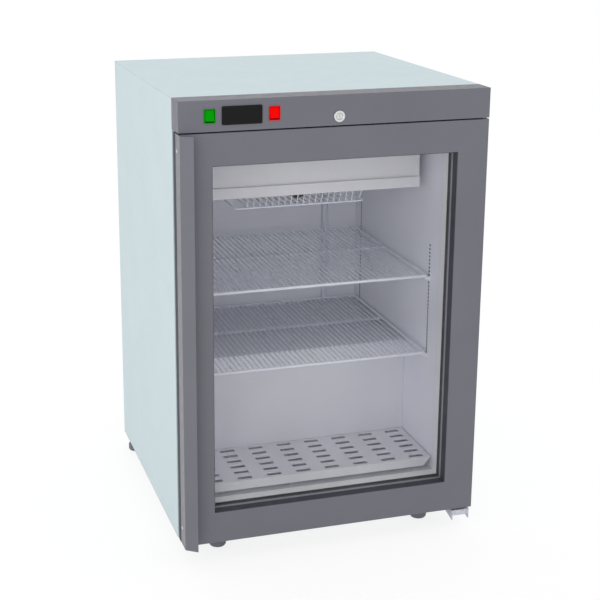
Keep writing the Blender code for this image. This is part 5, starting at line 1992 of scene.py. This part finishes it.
    def handle(self) -> None:
        """Builds the bent sheet of the handle and its two screws."""
        low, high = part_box("door_handle")
        half = self.handle_sheet / 2
        tip = Vector((high[0] - half - self.lip_trim, low[1] + half))
        bend = Vector((low[0] + half, low[1] + self.handle_reach))
        back = Vector((low[0] + half, high[1]))
        outline = self.thickened(self.bent_path(back, bend, tip), half)
        piece = piece_of("handle_profile", extruded(outline, low[2], high[2]))
        smooth(piece, self.handle_angle)
        self.shop.hand_in(piece, PALETTE.handle_paint, Body.DOOR, Slot.GREY_PAINT, ("door_handle",))
        set_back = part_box("door_left_stile")[0][1] + self.handle_screw_set
        heights = (low[2] + self.handle_screw_low, high[2] - self.handle_screw_high)
        spots = [(low[0], set_back, height) for height in heights]
        screw = ScrewHead(self.handle_screw)
        self.shop.screw_row("handle_screws", spots, (-1.0, 0.0, 0.0), Body.DOOR, screw)

    def bent_path(self, start: Vector, corner: Vector, end: Vector) -> list[Vector]:
        """Rounds the corner of a two-legged path.

        Args:
            start: first end.
            corner: corner to round.
            end: last end.

        Returns:
            Points along the path.
        """
        before, after = (start - corner).normalized(), (end - corner).normalized()
        opening = before.angle(after)
        reach = self.handle_bend / math.tan(opening / 2)
        middle = corner + (before + after).normalized() * (self.handle_bend / math.sin(opening / 2))
        first, last = corner + before * reach, corner + after * reach
        points = [start]
        for step in range(self.bend_steps + 1):
            way = (first - middle).lerp(last - middle, step / self.bend_steps)
            points.append(middle + way.normalized() * self.handle_bend)
        return [*points, end]

    def thickened(self, path: Sequence[Vector], half: float) -> list[Pair]:
        """Gives a path a thickness and a round free end.

        Args:
            path: points along the middle of the sheet.
            half: half the sheet.

        Returns:
            The closed outline.
        """
        left, right = [], []
        for step, point in enumerate(path):
            ahead = path[min(step + 1, len(path) - 1)] - path[max(step - 1, 0)]
            aside = Vector((-ahead.y, ahead.x)).normalized() * half
            left.append(tuple(point + aside))
            right.append(tuple(point - aside))
        ahead = (path[-1] - path[-2]).normalized()
        turn = math.degrees(math.atan2(ahead.y, ahead.x))
        cap = arc(tuple(path[-1]), half, turn + 90, turn - 90, self.cap_steps)[1:-1]
        return [*left, *cap, *reversed(right)]


@dataclass
class MachineRoom(Assembly):
    """Compressor and condenser behind the grille.

    The curves are the powers that flatten the crown and the bowl of the compressor's pot.
    """

    radius: float = 0.075
    height: float = 0.165
    seam: float = 0.086
    rim: float = 0.003
    rim_flat: float = 0.002
    rim_bevel: float = 0.001
    crown_curve: Pair = (0.6, 0.8)
    bowl_curve: Pair = (0.5, 0.8)
    curve_steps: int = 12
    pot_sides: int = 64
    pot_angle: float = 35.0
    foot_sheet: float = 0.003
    foot_corner: float = 0.012
    coil: float = 0.003
    coil_sides: int = 12
    coil_runs: int = 6
    coil_pitch: float = 0.034

    def build(self) -> None:
        """Builds the compressor and the condenser tube."""
        self.compressor()
        self.condenser()

    def compressor(self) -> None:
        """Builds the welded pot of the compressor on its foot plate."""
        low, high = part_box("compressor_shell")
        x, y = (low[0] + high[0]) / 2, (low[1] + high[1]) / 2
        half = ((high[0] - low[0]) / 2, (high[1] - low[1]) / 2)
        pot = turned(self.pot_profile(), self.pot_sides)
        pot.transform(Matrix.Translation((x, y, high[2] - self.height)))
        outline = rounded_rectangle((x, y), half, self.foot_corner)
        foot = extruded(outline, low[2], low[2] + self.foot_sheet)
        piece = piece_of("compressor_pot", joined([pot, foot]))
        smooth(piece, self.pot_angle)
        self.shop.hand_in(
            piece, PALETTE.black_steel, Body.CABINET, Slot.BLACK_STEEL, ("compressor_shell",))

    def pot_profile(self) -> list[Pair]:
        """Gives the profile of the pot: crown, welded rim and bowl.

        Returns:
            Radius and height of each point, from the top down.
        """
        seam, rim = self.seam, self.radius + self.rim
        top, bowl = seam + self.rim, seam - self.rim
        crown = self.height - seam - self.rim
        turns = [math.pi / 2 * step / self.curve_steps for step in range(self.curve_steps)]
        wide, tall = self.crown_curve
        upper = [
            (self.radius * math.cos(turn) ** wide, top + crown * math.sin(turn) ** tall)
            for turn in turns]
        wide, tall = self.bowl_curve
        lower = [
            (self.radius * math.cos(turn) ** wide, bowl - bowl * math.sin(turn) ** tall)
            for turn in turns]
        return [
            (0.0, self.height), *reversed(upper), (rim - self.rim_bevel, top),
            (rim, seam + self.rim_flat), (rim, seam - self.rim_flat),
            (rim - self.rim_bevel, bowl), *lower, (0.0, 0.0)]

    def condenser(self) -> None:
        """Builds the condenser tube along its back-and-forth path."""
        low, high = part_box("condenser_coil")
        y = (low[1] + high[1]) / 2
        left, right = low[0] + self.coil, high[0] - self.coil
        points = []
        for run in range(self.coil_runs):
            z = low[2] + self.coil + run * self.coil_pitch
            ends = [(left, y, z), (right, y, z)]
            points += ends if run % 2 == 0 else reversed(ends)
        for free in (0, -1):
            if points[free][0] == left:
                points[free] = (left + self.coil_pitch / 2, y, points[free][2])
        finish = PALETTE.black_steel
        sizes = {
            "Radius": self.coil, "Bend": self.coil_pitch / 2, "Sides": self.coil_sides,
            "Finish": finish.material()}
        mesh = self.shop.forms.tube.grown(polyline(points), sizes)
        piece = piece_of("condenser_tube", mesh)
        self.shop.hand_in(piece, finish, Body.CABINET, Slot.BLACK_STEEL, ("condenser_coil",))


@dataclass
class Feet(Assembly):
    """Four levelling feet, turned from a profile of radius and height."""

    profile: tuple[Pair, ...] = (
        (0.0, 0.066), (0.0034, 0.066), (0.004, 0.0654), (0.004, 0.0377), (0.0092, 0.0377),
        (0.010, 0.0369), (0.010, 0.0215), (0.0108, 0.0190), (0.0155, 0.0150), (0.0168, 0.0138),
        (0.017, 0.0128), (0.017, 0.0040), (0.0166, 0.0022), (0.0150, 0.0), (0.0132, 0.0),
        (0.0126, 0.0008), (0.0, 0.0008))
    sides: int = 40

    def build(self) -> None:
        """Builds the feet, each on its own body."""
        for place in ("front_left", "front_right", "rear_left", "rear_right"):
            node, name = f"foot_{place}", f"{place}_levelling_foot"
            low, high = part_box(node)
            mesh = turned(self.profile, self.sides)
            middle = ((low[0] + high[0]) / 2, (low[1] + high[1]) / 2, low[2])
            mesh.transform(Matrix.Translation(middle))
            piece = piece_of(name, mesh)
            smooth(piece, MOULDED_ANGLE)
            body = Body(f"{place}_foot")
            self.shop.hand_in(piece, PALETTE.foot_plastic, body, Slot.DARK_RUBBER, (node,))


@dataclass
class Tray(Assembly):
    """Slotted sheet tray over the floor."""

    edge: float = 0.0003

    def build(self) -> None:
        """Builds the tray with soft sheet edges."""
        self.shop.softened(
            "floor_tray", "slotted_tray", PALETTE.tray_paint, Body.CABINET, Slot.WHITE_SHEET,
            self.edge)


@dataclass
class Studio:
    """Floor, lamp, surroundings and camera."""

    ambient: float = 0.885
    key_power: float = 33.0
    key_place: Point = (-2.25, -3.45, 1.5)
    key_aim: Point = (0.0, 0.0, 0.45)
    key_size: float = 2.4
    floor_size: float = 9.0
    floor_pale: Rgb = (240, 240, 240)
    floor_shown: Rgb = (124, 124, 124)
    floor_mottle: float = 0.005
    floor_patches: float = 2.0
    floor_rough: float = 0.9
    floor_shine: float = 0.1
    floor_glow: float = 0.82
    camera_place: Point = (-0.8122, -2.4735, 1.2530)
    azimuth: float = -16.436
    elevation: float = 14.853
    lens: float = 78.07
    sensor: float = 36.0
    shift: Pair = (0.0806, -0.1071)

    def build(self) -> None:
        """Builds the whole setting."""
        bpy.context.scene.view_settings.view_transform = "Standard"
        self.floor()
        self.surroundings()
        self.lamp()
        self.camera()

    @staticmethod
    def seen(tree: bpy.types.NodeTree) -> Socket:
        """Adds a value that is 1 for rays that show the background itself.

        Args:
            tree: tree of the floor's material or of the world.

        Returns:
            The value: 1 for camera, mirror and glass rays.
        """
        path = tree.nodes.new("ShaderNodeLightPath")
        total = path.outputs["Is Camera Ray"]
        for name in ("Is Glossy Ray", "Is Transmission Ray"):
            inputs = {0: total, 1: path.outputs[name]}
            total = add_node(tree, "ShaderNodeMath", inputs, operation="MAXIMUM").outputs[0]
        return total

    def floor(self) -> None:
        """Builds the pale floor, which glows a little where it is seen and keeps the shadow."""
        half = self.floor_size / 2
        corners = [(-half, -half, 0.0), (half, -half, 0.0), (half, half, 0.0), (-half, half, 0.0)]
        mesh = bpy.data.meshes.new("studio_floor")
        mesh.from_pydata(corners, [], [(0, 1, 2, 3)])
        floor = piece_of("studio_floor", mesh)
        shading = Shading("Pale studio floor")
        shading.constant({
            "Roughness": self.floor_rough, "Specular IOR Level": self.floor_shine,
            "Emission Color": WHITE})
        patches = shading.noise(self.floor_patches)
        seen = self.seen(shading.tree)
        pale, shown = (
            shading.tint(patches, scaled(colour, 1 - self.floor_mottle), colour)
            for colour in (self.floor_pale, self.floor_shown))
        shading.link(shading.mixed(seen, pale, shown), shading.shader.inputs["Base Color"])
        inputs = {0: seen, 1: self.floor_glow}
        glow = shading.node("ShaderNodeMath", inputs, operation="MULTIPLY")
        shading.link(glow.outputs[0], shading.shader.inputs["Emission Strength"])
        mesh.materials.append(shading.material)

    def surroundings(self) -> None:
        """Builds even light from all round, white where it is seen."""
        world = bpy.data.worlds.new("white_studio")
        world.use_nodes = True
        tree = world.node_tree
        tree.nodes.clear()
        output = tree.nodes.new("ShaderNodeOutputWorld")
        lights = [
            add_node(tree, "ShaderNodeBackground", {"Color": WHITE, "Strength": strength})
            for strength in (self.ambient, 1.0)]
        inputs = {0: self.seen(tree), 1: lights[0].outputs[0], 2: lights[1].outputs[0]}
        mix = add_node(tree, "ShaderNodeMixShader", inputs)
        tree.links.new(mix.outputs[0], output.inputs[0])
        bpy.context.scene.world = world

    def lamp(self) -> None:
        """Adds the soft square lamp that looks at the fridge."""
        light = bpy.data.lights.new("key_lamp", "AREA")
        light.size = self.key_size
        light.energy = self.key_power
        lamp = bpy.data.objects.new("key_lamp", light)
        lamp.location = self.key_place
        aim = Vector(self.key_aim) - Vector(self.key_place)
        lamp.rotation_euler = aim.to_track_quat("-Z", "Y").to_euler()
        bpy.context.scene.collection.objects.link(lamp)

    def camera(self) -> None:
        """Adds the camera at the photograph's viewing angle."""
        data = bpy.data.cameras.new("photo_camera")
        data.lens = self.lens
        data.sensor_width = self.sensor
        data.shift_x, data.shift_y = self.shift
        camera = bpy.data.objects.new("photo_camera", data)
        camera.location = self.camera_place
        turn, rise = math.radians(self.azimuth), math.radians(self.elevation)
        ahead = Vector((
            -math.sin(turn) * math.cos(rise), math.cos(turn) * math.cos(rise), -math.sin(rise)))
        camera.rotation_euler = ahead.to_track_quat("-Z", "Y").to_euler()
        bpy.context.scene.collection.objects.link(camera)
        bpy.context.scene.camera = camera


def dress_solids() -> None:
    """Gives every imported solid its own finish, or else that of its material slot."""
    own = {
        "breaker_frame": PALETTE.mouth_plastic, "liner_floor": PALETTE.floor_sheet,
        # The lower hinge bush wears light grey instead of its black slot: partly the grey of a nylon bush, partly
        # painted light that brightens the shadowed gap under the door.
        "liner_step": PALETTE.step_paint, "bottom_hinge_bush": PALETTE.spacer_band}
    for subpart in frame["record"]["subparts"]:
        name = subpart["node"]
        finish = own.get(name, PALETTE.for_slot(Slot(subpart["material_slot"])))
        for slot in frame["nodes"][name].material_slots:
            slot.material = finish.material()


def main() -> None:
    logging.basicConfig(level=logging.INFO, format="%(message)s")
    Studio().build()
    dress_solids()
    shop = Workshop()
    parts = (
        Cabinet, Liner, Shelves, Tray, Evaporator, Controls, Hinges, Door, MachineRoom, Feet)
    for part in parts:
        part(shop).build()
        LOG.info("built %s", part.__name__)
    LOG.info("%d pieces handed in", shop.count)


if __name__ == "__main__":
    main()
